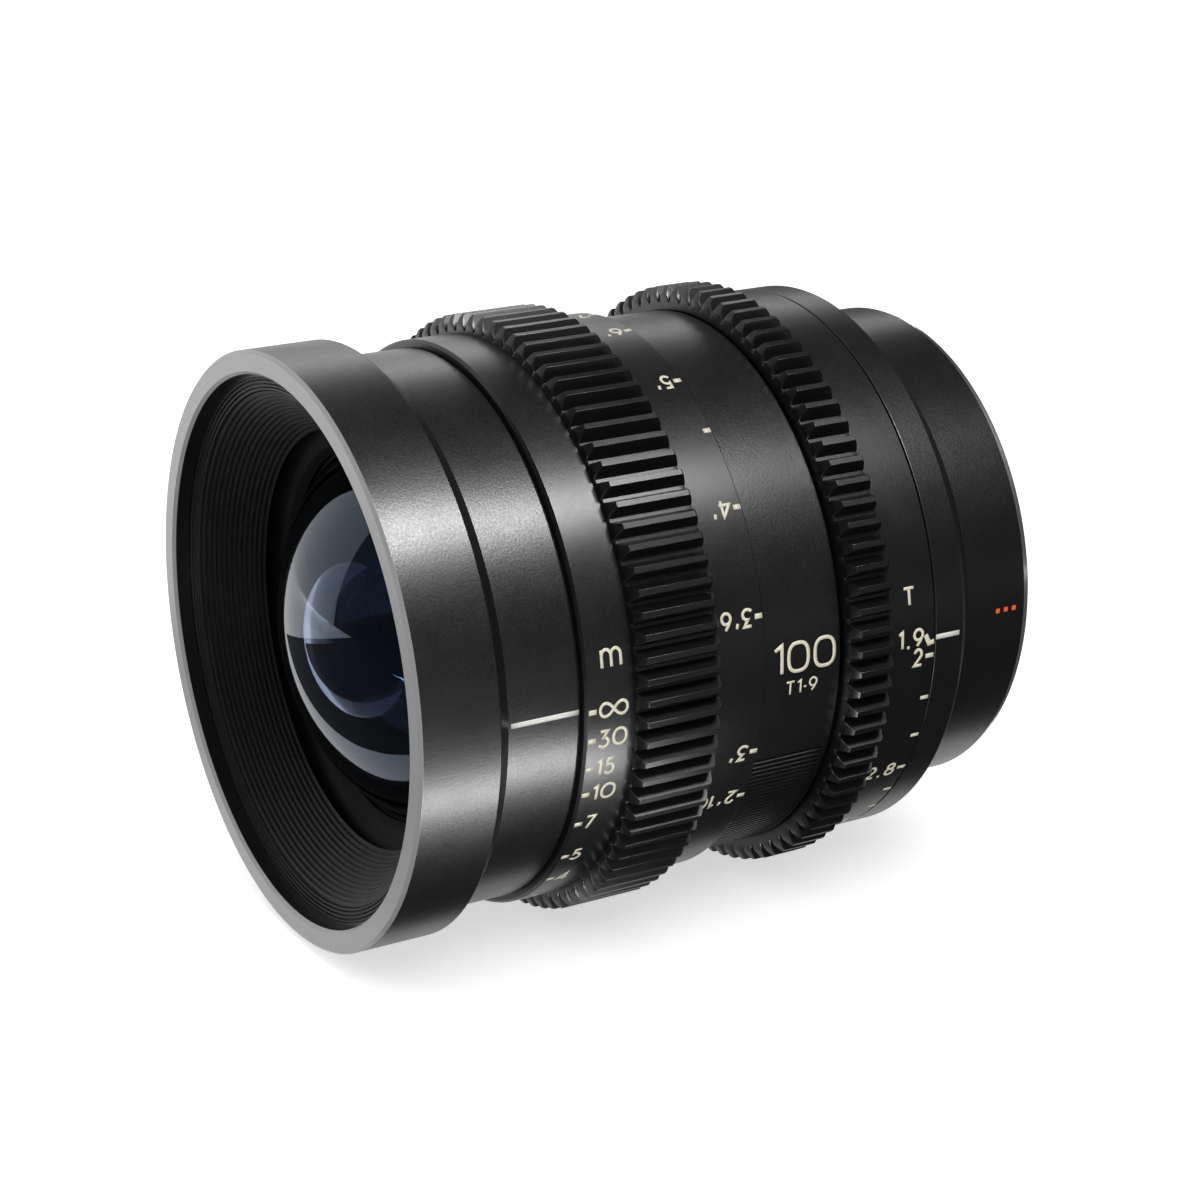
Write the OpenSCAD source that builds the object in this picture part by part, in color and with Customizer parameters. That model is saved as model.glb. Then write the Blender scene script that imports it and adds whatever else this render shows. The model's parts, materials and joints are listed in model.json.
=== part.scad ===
// Cinema prime lens, in millimetres.
// The optical axis lies along Y: the front faces -Y and the camera is at +Y.
// The origin is the centre of the mount flange's seating face, and +Z is up.
// Angles round the axis count from +X, the index side, towards +Z.

/* [Barrel lengths] */
// Length of the front ring's straight outer face
front_ring_len = 9.95; // [8.5:0.05:14]
// Length from the front ring's face to the focus ring's seam
witness_len = 11.15; // [9.5:0.05:16]
// Length of the metre scale land
metre_scale_len = 6.25; // [5:0.05:8]
// Length of the focus gear at its tooth roots
focus_gear_len = 11.1; // [9:0.1:15]
// Length of the feet scale land
feet_scale_len = 6.4; // [6:0.05:10]
// Length of the centre barrel between the rings
centre_len = 10.85; // [8:0.05:14]
// Length of the iris gear at its tooth roots
iris_gear_len = 6.1; // [5.5:0.1:10]
// Length of the T scale land
t_scale_len = 6.4; // [6:0.05:11]
// Length of the index ring's straight land
index_len = 4.05; // [3:0.05:6]
// Length of the index ring's sloped flank
index_flank_len = 3.55; // [3:0.05:5]
// Length of the mount barrel that shows
mount_barrel_len = 9; // [7:0.05:14]
// Thickness of the mount flange
flange_t = 0.95; // [0.8:0.05:2]
// Open seam at each end of the focus ring and in front of the iris ring
seam = 0.3; // [0.25:0.05:0.5]
// Fine seam between the iris ring and the index ring
fine_seam = 0.15; // [0.1:0.05:0.4]

/* [Barrel radii] */
// Outside radius of the sliding focus cell
focus_cell_r = 26.6; // [26:0.1:29]
// Wall of the guide tube
guide_wall = 2.1; // [1.6:0.1:3]
// Wall of the cam sleeve
cam_wall = 2.85; // [2:0.05:4]
// Wall of the focus ring under the metre scale
ring_wall = 2.32; // [1.8:0.01:4]
// Rise from the metre scale to the feet scale
feet_step = 0.3; // [0.1:0.05:0.5]
// Rise from the metre scale to the T scale
t_step = 0.4; // [0.1:0.05:0.8]
// Drop from the metre scale to the witness barrel
witness_step = 0.95; // [0.4:0.05:1.2]
// Drop from the feet scale to the centre barrel
centre_step = 0.97; // [0.4:0.01:1.2]
// Wall of the rear tube round the iris
rear_tube_wall = 2.3; // [1.8:0.1:3]
// Outside radius of the mount barrel
mount_r = 30.6; // [30.2:0.1:31.4]

/* [Gears] */
// Module of the two drive gears
gear_module = 0.8; // [0.6:0.1:1]
// Least rise from the metre scale to the tooth roots
root_step = 0.48; // [0.2:0.01:1]
// Angle of the first focus tooth from the index
focus_gear_phase = 0.86; // [0:0.01:4]
// Angle of the first iris tooth from the index
iris_gear_phase = 1.63; // [0:0.01:4]

/* [Front opening] */
// Rise from the metre scale to the front ring
front_ring_step = 1.48; // [1:0.02:3]
// Width of the front ring's face
rim_width = 2.85; // [2.2:0.05:3.2]
// Depth of the threaded wall inside the rim
rim_depth = 2; // [1.5:0.1:3]
// Depth from the rim to the back edge of the ribbed cone
cone_depth = 9.26; // [8.6:0.02:11]
// Width of the stepped ledge in front of the cone
ledge_width = 1.8; // [1.2:0.1:2.4]
// Ridges on the ledge
ledge_ridges = 4; // [2:1:6]
// Ribs on the cone
cone_ribs = 13; // [8:1:16]
// Depth of the ribs on the cone
rib_depth = 0.28; // [0.1:0.02:0.4]

/* [Focus drive] */
// Turn of the focus ring from infinity to the closest distance, in degrees
focus_throw = 210; // [120:5:220]
// Travel of the focus group over that turn
focus_travel = 8.4; // [7:0.1:9]
// Length of the focus cell
focus_cell_len = 13.4; // [12.6:0.1:15]
// Radius of the cam follower pins
follower_r = 1.4; // [1:0.05:1.6]
// Cam follower pins round the cell
follower_count = 3; // [2:1:3]

/* [Iris] */
// Turn of the iris ring from open to closed, in degrees
iris_throw = 118; // [90:1:124]
// Swing of each blade over that turn, in degrees
blade_swing = 32; // [24:0.5:33]
// Distance from the rear tube's bore in to the blade pivots
pivot_inset = 2.6; // [2.4:0.1:3]
// Distance from the blade pivots in to the edge of the open iris
blade_reach = 9.8; // [9:0.1:11]
// Distance from a blade's pivot to its drive pin
drive_arm = 10; // [9.5:0.1:10.5]
// Thickness of a blade
blade_t = 0.2; // [0.1:0.02:0.26]
// Axial step from one blade to the next
blade_pitch = 0.36; // [0.3:0.02:0.5]
// Radius of the blade pins
blade_pin_r = 0.5; // [0.35:0.05:0.55]
// Thickness of the iris cam plate
cam_plate_t = 2.5; // [2.2:0.1:3.2]

/* [Glass] */
// Wall of the front cell round the front element
front_wall = 3.75; // [2.55:0.05:5.45]
// Radius of curvature of the front dome
front_curve = 29.2; // [27:0.2:36]
// Distance of the front dome's crown behind the rim
front_set_back = 2.2; // [2.1:0.1:3.5]
// Centre thickness of the front element
front_glass_t = 4; // [3:0.1:5]
// Radius of curvature of the front element's hollow back
front_back_curve = 15; // [14:0.5:20]
// Thickness of the front element's edge
front_edge_t = 2.7; // [2.2:0.1:3.2]
// Radius of the second element
second_glass_r = 24.9; // [23:0.1:27]
// Wall of the focus cell round its front element
focus_front_wall = 3.4; // [2.7:0.1:5]
// Wall of the focus cell round its rear element
focus_rear_wall = 4.6; // [4.1:0.1:6.5]
// Radius of the rear doublet
rear_doublet_r = 20.1; // [19.4:0.1:20.6]
// Radius of the rear element
rear_glass_r = 19.1; // [18:0.1:19.2]

/* [Camera mount] */
// Outside radius of the bright flange
flange_r = 30.2; // [29:0.1:30.2]
// Bore radius of the bayonet tube
throat_r = 20.6; // [20:0.1:21]
// Wall of the bayonet tube
bayonet_wall = 1; // [0.8:0.1:1.4]
// Length of the bayonet tube behind the flange
bayonet_len = 5; // [4.6:0.1:7]
// Height of the bayonet lugs above the tube
lug_rise = 1.3; // [0.8:0.1:1.6]
// Angle that one lug covers
lug_angle = 58; // [40:1:70]
// Angle of the first lug's leading end
lug_start = 36; // [0:1:60]
// Radius of the circle of mount screws
mount_screw_circle_r = 26.3; // [25.8:0.1:27]
// Mount screws
mount_screw_count = 4; // [3:1:6]

/* [Grip and marks] */
// Angle between the ribs of the grip patch
grip_pitch = 1.25; // [1:0.05:2]
// Angle where the grip patch starts, below the index
grip_start = -20; // [-40:1:-10]
// Depth of the grip grooves
grip_depth = 0.3; // [0.1:0.05:0.4]
// Side of the square mount index marks
mark_size = 0.6; // [0.4:0.05:0.9]
// Distance between the mount index marks
mark_pitch = 1.22; // [1:0.02:1.6]

/* [Fits] */
// Gap between turning rings and what they turn on
run_gap = 0.3; // [0.2:0.05:0.4]
// Gap between the focus cell and the guide tube
slide_gap = 0.3; // [0.2:0.05:0.4]
// Gap between fixed pieces that seat in each other
seat_gap = 0.05; // [0.02:0.01:0.1]
// Gap at the sides of a pin in its slot
pin_gap = 0.15; // [0.1:0.01:0.2]
// Extra radius of the round ends of the focus slots
slot_relief = 0.15; // [0.1:0.01:0.3]
// Gap round a blade's pivot pin
pivot_gap = 0.05; // [0.02:0.01:0.1]

/* [Hidden] */
$fn = 96;
blade_count = 8;

// Colours
black = [0.07, 0.07, 0.075];
inner_black = [0.12, 0.12, 0.13];
brass = [0.72, 0.6, 0.32];
chrome = [0.82, 0.83, 0.85];
steel = [0.6, 0.61, 0.63];
glass = [0.5, 0.62, 0.78, 0.45];
orange = [0.95, 0.36, 0.05];

// Seats of the glass: side gap and how far a shoulder or retainer covers the rim
glass_gap = 0.1;
glass_lip = 1.3;

// Walls, steps and set-backs that follow no other size
over = 1;
spigot_step = 0.3;
spigot_wall = 2.27;
seat_step = 0.5;
ledge_step = 0.5;
ledge_depth = 0.6;
cone_cover = 1.8;
flank_foot = 0.5;
baffle_seat_t = 2;
thread_wall = 1;

// Radii, from the sliding cell outwards
focus_front_glass_r = focus_cell_r - focus_front_wall - glass_gap;
focus_rear_glass_r = focus_cell_r - focus_rear_wall - glass_gap;
guide_bore_r = focus_cell_r + slide_gap;
guide_r = guide_bore_r + guide_wall;
cam_bore_r = guide_r + run_gap;
cam_r = cam_bore_r + cam_wall;
ring_bore_r = cam_r + seat_gap;
journal_r = ring_bore_r - run_gap;
metre_r = ring_bore_r + ring_wall;
feet_r = metre_r + feet_step;
t_scale_r = metre_r + t_step;
witness_r = metre_r - witness_step;
centre_r = feet_r - centre_step;
spigot_r = witness_r - spigot_step;
front_bore_r = spigot_r - spigot_wall;
front_cell_r = front_bore_r - seat_gap;
front_glass_r = front_cell_r - front_wall;
iris_bore_r = journal_r - rear_tube_wall;
pivot_circle_r = iris_bore_r - pivot_inset;
iris_open_r = pivot_circle_r - blade_reach;
seat_bore_r = iris_bore_r + seat_step;
seat_r = seat_bore_r - seat_gap;
front_ring_r = metre_r + front_ring_step;
lip_r = front_ring_r - rim_width;
ledge_r = lip_r - ledge_step;
cone_r = front_glass_r - cone_cover;
iris_clearance = 1;
clear_r = iris_open_r + iris_clearance;

// Gear sizes
gear_teeth = ceil(2 * (metre_r + root_step + 1.25 * gear_module) / gear_module - 0.01);
pitch_r = gear_teeth * gear_module / 2;
tip_r = pitch_r + gear_module;
root_r = pitch_r - 1.25 * gear_module;
pressure_angle = 20;
tooth_bevel = 0.25;
tooth_foot = 0.65;
tooth_front_run = 0.45;
tooth_rear_run = 0.9;

// Stations along the axis, from the front face to the flange
edge = 0.15;
lens_len = front_ring_len + witness_len + 3 * seam + metre_scale_len + focus_gear_len + feet_scale_len
    + centre_len + iris_gear_len + t_scale_len + fine_seam + index_len + index_flank_len
    + mount_barrel_len + flange_t;
y_front = -lens_len;
y_flank = y_front + front_ring_len;
y_witness_end = y_flank + witness_len;
y_focus = y_witness_end + seam;
y_focus_gear = y_focus + metre_scale_len;
y_feet = y_focus_gear + focus_gear_len;
y_focus_end = y_feet + feet_scale_len;
y_centre = y_focus_end + seam;
y_centre_end = y_centre + centre_len;
y_iris = y_centre_end + seam;
y_t = y_iris + iris_gear_len;
y_iris_end = y_t + t_scale_len;
y_index = y_iris_end + fine_seam;
y_index_land = y_index + index_len;
y_mount = y_index_land + index_flank_len;
y_flange = y_mount + mount_barrel_len;

// Front opening
flank_len = front_ring_r - witness_r - flank_foot;
y_spigot = y_flank + flank_len;
y_ledge = y_front + rim_depth;
y_shoulder = y_ledge + baffle_seat_t;
y_baffle_seat = y_shoulder + baffle_seat_t;
y_cone_front = y_ledge + ledge_depth;
y_cone = y_front + cone_depth;
cone_front_r = ledge_r - seat_gap - ledge_width;
cone_wall = 1.2;

// Front group
function sag(curve, r) = curve - sqrt(curve * curve - r * r);
y_front_apex = y_front + front_set_back;
front_shoulder_gap = 1.05;
y_front_rim = y_cone + front_shoulder_gap;
y_front_rear = y_front_rim + front_edge_t;
dome_h = y_front_rim - y_front_apex;
dome_r = sqrt(dome_h * (2 * front_curve - dome_h));
retainer_t = 1.9;
dome_gap = 0.5;
y_front_cell = y_cone + seat_gap;
thread_r = front_cell_r - thread_wall;
second_space = 2.2;
second_curve = 150;
second_rear_curve = 70;
second_edge_t = 4.2;
second_retainer_t = 1.45;
y_second = y_front_rear + second_space;
y_second_retainer = y_second + second_edge_t + seat_gap;
y_front_cell_end = y_second_retainer + second_retainer_t + glass_gap;
y_tube_seat = y_front_cell_end + seat_gap;

// Focus drive
journal_len = 3.9;
washer_width = 1.4;
y_front_journal_end = y_witness_end + journal_len;
y_rear_journal = y_centre - journal_len;
sleeve_end_gap = 0.4;
y_sleeve = y_front_journal_end + sleeve_end_gap;
y_sleeve_end = y_rear_journal - sleeve_end_gap;
y_follower = (y_sleeve + y_sleeve_end + focus_travel) / 2;
slot_half = follower_r + pin_gap;
follower_angle = 90;
follower_step = 360 / follower_count;
follower_offset = 0.5;
y_focus_cell = y_follower - focus_cell_len / 2 + follower_offset;
y_focus_cell_end = y_focus_cell + focus_cell_len;
focus_step_depth = 9;
y_focus_step = y_focus_cell + focus_step_depth;
step_t = 1;
focus_front_curve = 70;
focus_rear_curve = 160;
focus_rim_depth = 3;
y_focus_rim = y_focus_cell + focus_rim_depth;
focus_rear_inset = 1;
y_focus_rear = y_focus_cell_end - focus_rear_inset;
stud_step = 0.4;
stud_r = follower_r - stud_step;
stud_depth = 2.1;
guide_overlap = 1;
y_guide_end = y_centre + guide_overlap;
screw_count = 3;
screw_angle = 30;
screw_r = 0.8;
screw_head_r = 1.3;
screw_head_t = 1.2;
screw_tip = 0.3;
stop_pin_r = 0.9;
stop_inset = 1.8;
stop_pin_reach = 0.6;
stop_groove_depth = 0.9;
y_stop = y_centre - stop_inset;
key_len = 2.5;
key_width = 3;
key_height = 1.9;
key_depth = 1;

grip_front = 0.4;
grip_rear = 0.9;

// Iris pack, from the front plate to the base plate
rear_tube_space = 1.25;
y_rear_tube = y_guide_end + rear_tube_space;
iris_shoulder_step = 0.3;
y_iris_shoulder = y_iris + iris_shoulder_step;
front_plate_t = 1.8;
y_cam_plate = y_iris_shoulder + seat_gap + front_plate_t + run_gap;
y_cam_plate_end = y_cam_plate + cam_plate_t;
blade_gap = 0.25;
base_gap = 0.28;
y_blades = y_cam_plate_end + blade_gap;
y_base = y_blades + (blade_count - 1) * blade_pitch + blade_t + base_gap;
base_t = 2.2;
cam_plate_r = iris_bore_r - run_gap;
blade_inset = 2.7;
ear_rise = 1.5;
blade_outer_r = pivot_circle_r - blade_inset;
ear_r = pivot_circle_r + ear_rise;
ear_angle = 25;
blade_angle = 118;
arm_angle = 100;
blade_step = 360 / blade_count;
cam_slot_half = blade_pin_r + pin_gap;
drive_pin_r = 0.9;
drive_pin_depth = 1.1;
drive_pin_reach = 1.5;
drive_pin_angle = 180 - iris_throw / 2;
y_drive_pin = (y_cam_plate + y_cam_plate_end) / 2;

// Rear group and camera mount
y_rear_flange = y_base + base_t + seat_gap;
rear_flange_t = 2.15;
y_mount_spigot = y_rear_flange + rear_flange_t + seat_gap;
tube_end_step = 0.4;
y_rear_tube_end = y_index_land + tube_end_step;
y_mount_step = y_rear_tube_end + seat_gap;
rear_cell_wall = 2.4;
rear_cell_r = rear_doublet_r + glass_gap + rear_cell_wall;
rear_cell_inset = 3.5;
partition_depth = 9;
doublet_depth = 3.6;
y_rear_cell_end = y_flange - rear_cell_inset;
y_partition = y_rear_flange + partition_depth;
rear_curve = 55;
rear_apex_inset = 0.8;
y_rear_apex = y_rear_cell_end - rear_apex_inset;
y_doublet = y_rear_flange + doublet_depth;
doublet_curve = 90;
partition_t = 1.2;
mount_flange_t = 2.45;
mount_flange_gap = 1.2;
mount_flange_bore_r = rear_cell_r + mount_flange_gap;
mount_wall = 2.45;
mount_bore_r = min(seat_r, mount_r) - mount_wall;
bayonet_r = throat_r + bayonet_wall;
lug_r = bayonet_r + lug_rise;
lug_t = 2;
lug_count = 3;
lug_inset = 0.1;
y_lug = bayonet_len - lug_t - lug_inset;
screw_depth = 0.02;
mount_screw_r = 0.85;
mount_head_r = 1.6;
index_angle = 0.4;
mark_depth = 0.4;
mark_inset = 2.83;
y_marks = y_flange - mark_inset;

// Solid of revolution about the lens axis, from [radius, y] points
module revolve(points)
    rotate([-90, 0, 0])
        rotate_extrude()
            polygon(points);

// The same, only between two angles round the axis
module revolve_arc(from, to, points)
    rotate([-90, 0, 0])
        rotate([0, 0, -to])
            rotate_extrude(angle = to - from)
                polygon(points);

// Plain ring
module ring(inner_r, outer_r, y1, y2)
    revolve([[inner_r, y1], [outer_r, y1], [outer_r, y2], [inner_r, y2]]);

// Flat plate across the axis, cut from a shape drawn in the XZ plane
module plate(y1, y2)
    translate([0, y2, 0])
        rotate([90, 0, 0])
            linear_extrude(y2 - y1)
                children();

// Places a shape drawn along +X at an angle round the axis
module spoke(angle, y)
    translate([0, y, 0])
        rotate([0, -angle, 0])
            children();

// Round bar that points outwards from r1 to r2
module radial_bar(angle, y, r, r1, r2)
    spoke(angle, y)
        translate([r1, 0, 0])
            rotate([0, 90, 0])
                cylinder(r = r, h = r2 - r1);

// Ball whose surface crosses the axis at y: a positive curve bulges towards the front
module ball(y, curve)
    translate([0, y + curve, 0])
        sphere(r = abs(curve), $fn = 256);

function polar(r, angle) = [r * cos(angle), r * sin(angle)];

// Outline of the toothed rings
function tooth_half(r) =
    (PI * gear_module / 4 - (r - pitch_r) * tan(pressure_angle)) / r * 180 / PI;
function gear_outline(phase) =
    let (pitch = 360 / gear_teeth, root = tooth_half(root_r), tip = tooth_half(tip_r))
    [for (i = [0 : gear_teeth - 1])
        each [polar(root_r, phase + i * pitch - root), polar(tip_r, phase + i * pitch - tip),
              polar(tip_r, phase + i * pitch + tip), polar(root_r, phase + i * pitch + root)]];

// Teeth of a ring: upright foot, sloped front with a small bevel, and a back that leans forward
module toothed_band(y1, y2, phase) {
    crown_r = tip_r + seat_gap;
    inner_r = metre_r - ring_wall / 2;
    intersection() {
        revolve([[inner_r, y1], [root_r + tooth_foot, y1], [crown_r - tooth_bevel, y1 + tooth_front_run],
                 [crown_r, y1 + tooth_front_run + tooth_bevel], [crown_r, y2 - tooth_rear_run],
                 [crown_r - tooth_bevel, y2 - tooth_rear_run + tooth_bevel],
                 [root_r + tooth_bevel / 2, y2 - tooth_bevel], [root_r - tooth_bevel, y2], [inner_r, y2]]);
        plate(y1 - over, y2 + over) polygon(gear_outline(phase));
    }
}

// Front ring: rim, threaded wall, seat for the baffle and the sloped flank
module front_ring()
    color(black)
        revolve([[lip_r + edge, y_front], [front_ring_r - edge, y_front], [front_ring_r, y_front + edge],
                 [front_ring_r, y_flank - edge], [front_ring_r - edge, y_flank],
                 [witness_r + flank_foot, y_spigot], [spigot_r + seat_gap, y_spigot],
                 [spigot_r + seat_gap, y_baffle_seat], [ledge_r - thread_wall, y_baffle_seat],
                 [ledge_r - thread_wall, y_shoulder], [ledge_r, y_shoulder], [ledge_r, y_ledge],
                 [lip_r, y_ledge], [lip_r, y_front + edge]]);

// Ribbed light trap: ridged ledge, then a ribbed cone that narrows to the front glass
module front_baffle() {
    outer_r = ledge_r - seat_gap;
    ridge = ledge_width / ledge_ridges;
    rib_y = (y_cone - y_cone_front) / cone_ribs;
    rib_r = (cone_front_r - cone_r) / cone_ribs;
    ledge_rise = (y_cone_front - y_ledge) / ledge_ridges;
    color(black)
        revolve(concat(
            [for (i = [0 : ledge_ridges - 1])
                each [[outer_r - i * ridge, y_ledge + i * ledge_rise],
                      [outer_r - (i + 0.55) * ridge, y_ledge + i * ledge_rise],
                      [outer_r - (i + 0.7) * ridge, y_ledge + i * ledge_rise + rib_depth + ledge_rise]]],
            [for (i = [0 : cone_ribs - 1])
                each [[cone_front_r - i * rib_r, y_cone_front + i * rib_y],
                      [cone_front_r - (i + 0.2) * rib_r + rib_depth, y_cone_front + (i + 0.45) * rib_y],
                      [cone_front_r - (i + 0.75) * rib_r, y_cone_front + (i + 0.75) * rib_y]]],
            [[cone_r, y_cone], [cone_r + cone_wall, y_cone],
             [cone_front_r + cone_wall - 0.8, y_shoulder], [outer_r, y_shoulder]]));
}

// Fixed barrel with the focus index, and the journal under the focus ring
module witness_barrel()
    color(black)
        difference() {
            revolve([[front_bore_r, y_baffle_seat + seat_gap], [spigot_r, y_baffle_seat + seat_gap],
                     [spigot_r, y_spigot], [witness_r, y_spigot], [witness_r, y_witness_end - edge],
                     [witness_r - edge, y_witness_end], [journal_r, y_witness_end],
                     [journal_r, y_front_journal_end], [guide_r + seat_gap, y_front_journal_end],
                     [guide_r + seat_gap, y_tube_seat], [front_bore_r, y_tube_seat]]);
            tube_screw_holes(y_witness_end + journal_len / 2);
        }

// Seat of the fixed front group
module front_cell()
    color(inner_black)
        revolve([[front_cell_r - seat_gap, y_front_cell], [front_cell_r, y_front_cell],
                 [front_cell_r, y_front_cell_end], [second_glass_r + glass_gap, y_front_cell_end],
                 [second_glass_r + glass_gap, y_second], [second_glass_r - glass_lip, y_second],
                 [second_glass_r - glass_lip, y_front_rear + 1], [front_glass_r - glass_lip, y_front_rear],
                 [front_glass_r + glass_gap, y_front_rear],
                 [front_glass_r + glass_gap, y_front_cell + retainer_t],
                 [thread_r, y_front_cell + retainer_t], [thread_r, y_front_cell + 2 * edge]]);

// Large domed front glass, hollow on its back, with a flat shoulder for the retainer
module front_element()
    color(glass)
        difference() {
            union() {
                intersection() {
                    ring(0, front_glass_r, y_front_apex - over, y_front_rear);
                    ball(y_front_apex, front_curve);
                }
                ring(0, front_glass_r, y_front_rim, y_front_rear);
            }
            ball(y_front_apex + front_glass_t, front_back_curve);
        }

// Threaded ring that holds the front glass
module front_retainer()
    color(inner_black)
        revolve([[dome_r + dome_gap, y_front_cell], [thread_r - seat_gap, y_front_cell],
                 [thread_r - seat_gap, y_front_cell + retainer_t - seat_gap],
                 [front_glass_r + glass_gap + seat_gap, y_front_cell + retainer_t - seat_gap],
                 [front_glass_r + glass_gap + seat_gap, y_front_rim - seat_gap],
                 [dome_r + dome_gap, y_front_rim - seat_gap]]);

// Weak second glass of the fixed front group
module second_element()
    color(glass)
        difference() {
            intersection() {
                ring(0, second_glass_r, y_front_rear, y_second + second_edge_t);
                ball(y_second + glass_gap - sag(second_curve, second_glass_r - glass_lip), second_curve);
            }
            ball(y_second + second_edge_t - sag(second_rear_curve, second_glass_r - 2 * glass_lip),
                 -second_rear_curve);
        }

module second_retainer()
    color(inner_black)
        ring(second_glass_r - glass_lip, second_glass_r + seat_gap,
             y_second_retainer, y_second_retainer + second_retainer_t);

// Fixed tube with straight slots for the cam followers
module guide_tube()
    color(brass)
        difference() {
            ring(guide_bore_r, guide_r, y_tube_seat + seat_gap, y_guide_end - seat_gap);
            for (i = [0 : follower_count - 1])
                straight_slot(follower_angle + i * follower_step);
            tube_screw_holes(y_witness_end + journal_len / 2);
            tube_screw_holes(y_stop);
        }

module straight_slot(angle) {
    for (y = [y_follower - focus_travel, y_follower])
        radial_bar(angle, y, slot_half + slot_relief, guide_bore_r - over, guide_r + over);
    spoke(angle, y_follower - focus_travel)
        translate([guide_bore_r - over, 0, -slot_half])
            cube([guide_wall + 2 * over, focus_travel, 2 * slot_half]);
}

module tube_screw_holes(y)
    for (i = [0 : screw_count - 1]) {
        angle = screw_angle + i * 360 / screw_count;
        radial_bar(angle, y, screw_r + seat_gap, guide_bore_r + screw_tip, ring_bore_r);
        radial_bar(angle, y, screw_head_r + seat_gap, journal_r - screw_head_t - seat_gap, ring_bore_r);
    }

// Screws that join the guide tube to both barrels
module tube_screws()
    color(steel)
        for (y = [y_witness_end + journal_len / 2, y_stop], i = [0 : screw_count - 1]) {
            angle = screw_angle + i * 360 / screw_count;
            radial_bar(angle, y, screw_r, guide_bore_r + screw_tip + seat_gap, journal_r - screw_head_t / 2);
            radial_bar(angle, y, screw_head_r, journal_r - screw_head_t, journal_r - glass_gap);
        }

// Pin that ends the focus ring's turn
module focus_stop_pin()
    color(steel)
        radial_bar(follower_angle, y_stop, stop_pin_r, guide_r + screw_tip, ring_bore_r + stop_pin_reach);

module focus_thrust_washers()
    color(black)
        for (y = [y_witness_end, y_focus_end + seat_gap])
            ring(ring_bore_r, journal_r + washer_width, y, y + seam - seat_gap);

// Focus ring: metre scale, gear and feet scale in one piece
module focus_ring() {
    chamfer = 2 * edge;
    stop_margin = (stop_pin_r + pin_gap) / ring_bore_r * 180 / PI;
    color(black)
        difference() {
            union() {
                revolve([[ring_bore_r, y_focus], [metre_r - chamfer, y_focus], [metre_r, y_focus + chamfer],
                         [metre_r, y_focus_gear + 1], [feet_r, y_focus_gear + 1],
                         [feet_r, y_focus_end - edge],
                         [feet_r - edge, y_focus_end], [ring_bore_r, y_focus_end]]);
                toothed_band(y_focus_gear, y_feet, focus_gear_phase);
            }
            revolve_arc(follower_angle - focus_throw - stop_margin, follower_angle + stop_margin,
                        [[ring_bore_r - over / 2, y_stop - stop_pin_r - pin_gap],
                         [ring_bore_r + stop_groove_depth, y_stop - stop_pin_r - pin_gap],
                         [ring_bore_r + stop_groove_depth, y_stop + stop_pin_r + pin_gap],
                         [ring_bore_r - over / 2, y_stop + stop_pin_r + pin_gap]]);
            drive_key_shapes(seat_gap);
        }
}

// Sleeve that turns with the focus ring and drives the followers through helical slots
module cam_sleeve()
    color(brass)
        difference() {
            ring(cam_bore_r, cam_r, y_sleeve, y_sleeve_end);
            for (i = [0 : follower_count - 1])
                helical_slot(follower_angle + i * follower_step);
            drive_key_shapes(seat_gap);
        }

// Point of the follower's path, seen from the turning sleeve
function path_angle(start, turn) = start - turn;
function path_y(turn) = y_follower - focus_travel * turn / focus_throw;

module helical_slot(start) {
    steps = ceil(focus_throw / 3);
    in_r = cam_bore_r - over;
    out_r = cam_r + over;
    turns = [for (i = [0 : steps]) focus_throw * i / steps];
    points = [for (t = turns)
        each [for (corner = [[in_r, -1], [out_r, -1], [out_r, 1], [in_r, 1]])
            let (p = polar(corner[0], path_angle(start, t)))
            [p[0], path_y(t) + corner[1] * slot_half, p[1]]]];
    sides = [for (i = [0 : steps - 1], k = [0 : 3])
        let (a = 4 * i + k, b = 4 * i + (k + 1) % 4)
        each [[a, b, b + 4], [a, b + 4, a + 4]]];
    ends = [[0, 3, 2], [0, 2, 1], [4 * steps, 4 * steps + 1, 4 * steps + 2],
            [4 * steps, 4 * steps + 2, 4 * steps + 3]];
    polyhedron(points, concat(sides, ends));
    for (t = [0, focus_throw])
        radial_bar(path_angle(start, t), path_y(t), slot_half + slot_relief, in_r, out_r);
}

// Keys that turn the sleeve with the ring
module drive_key_shapes(grow)
    for (i = [0 : follower_count - 1])
        spoke(follower_angle + (i + 0.5) * follower_step, y_sleeve_end)
            translate([cam_r - key_depth - grow, -key_len - grow, -key_width / 2 - grow])
                cube([key_height + 2 * grow, key_len + 2 * grow, key_width + 2 * grow]);

module focus_drive_keys()
    color(steel)
        drive_key_shapes(0);

// Sliding cell of the focus group
module focus_cell()
    color(inner_black)
        difference() {
            revolve([[focus_front_glass_r + glass_gap, y_focus_cell], [focus_cell_r, y_focus_cell],
                     [focus_cell_r, y_focus_cell_end], [focus_rear_glass_r + glass_gap, y_focus_cell_end],
                     [focus_rear_glass_r + glass_gap, y_focus_step + step_t],
                     [focus_rear_glass_r - glass_lip, y_focus_step + step_t],
                     [focus_rear_glass_r - glass_lip, y_focus_step],
                     [focus_front_glass_r + glass_gap, y_focus_step]]);
            for (i = [0 : follower_count - 1])
                radial_bar(follower_angle + i * follower_step, y_follower, stud_r + seat_gap,
                           focus_cell_r - stud_depth - seat_gap, focus_cell_r + over);
        }

// Front focus glass, bulged towards the front
module focus_front_element()
    color(glass)
        intersection() {
            ring(0, focus_front_glass_r, y_focus_cell - focus_front_glass_r, y_focus_step - seat_gap);
            ball(y_focus_rim - sag(focus_front_curve, focus_front_glass_r), focus_front_curve);
        }

module focus_front_retainer()
    color(inner_black)
        ring(focus_front_glass_r - glass_lip, focus_front_glass_r + seat_gap,
             y_focus_rim - retainer_t - 2 * edge, y_focus_rim - 4 * edge);

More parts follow.
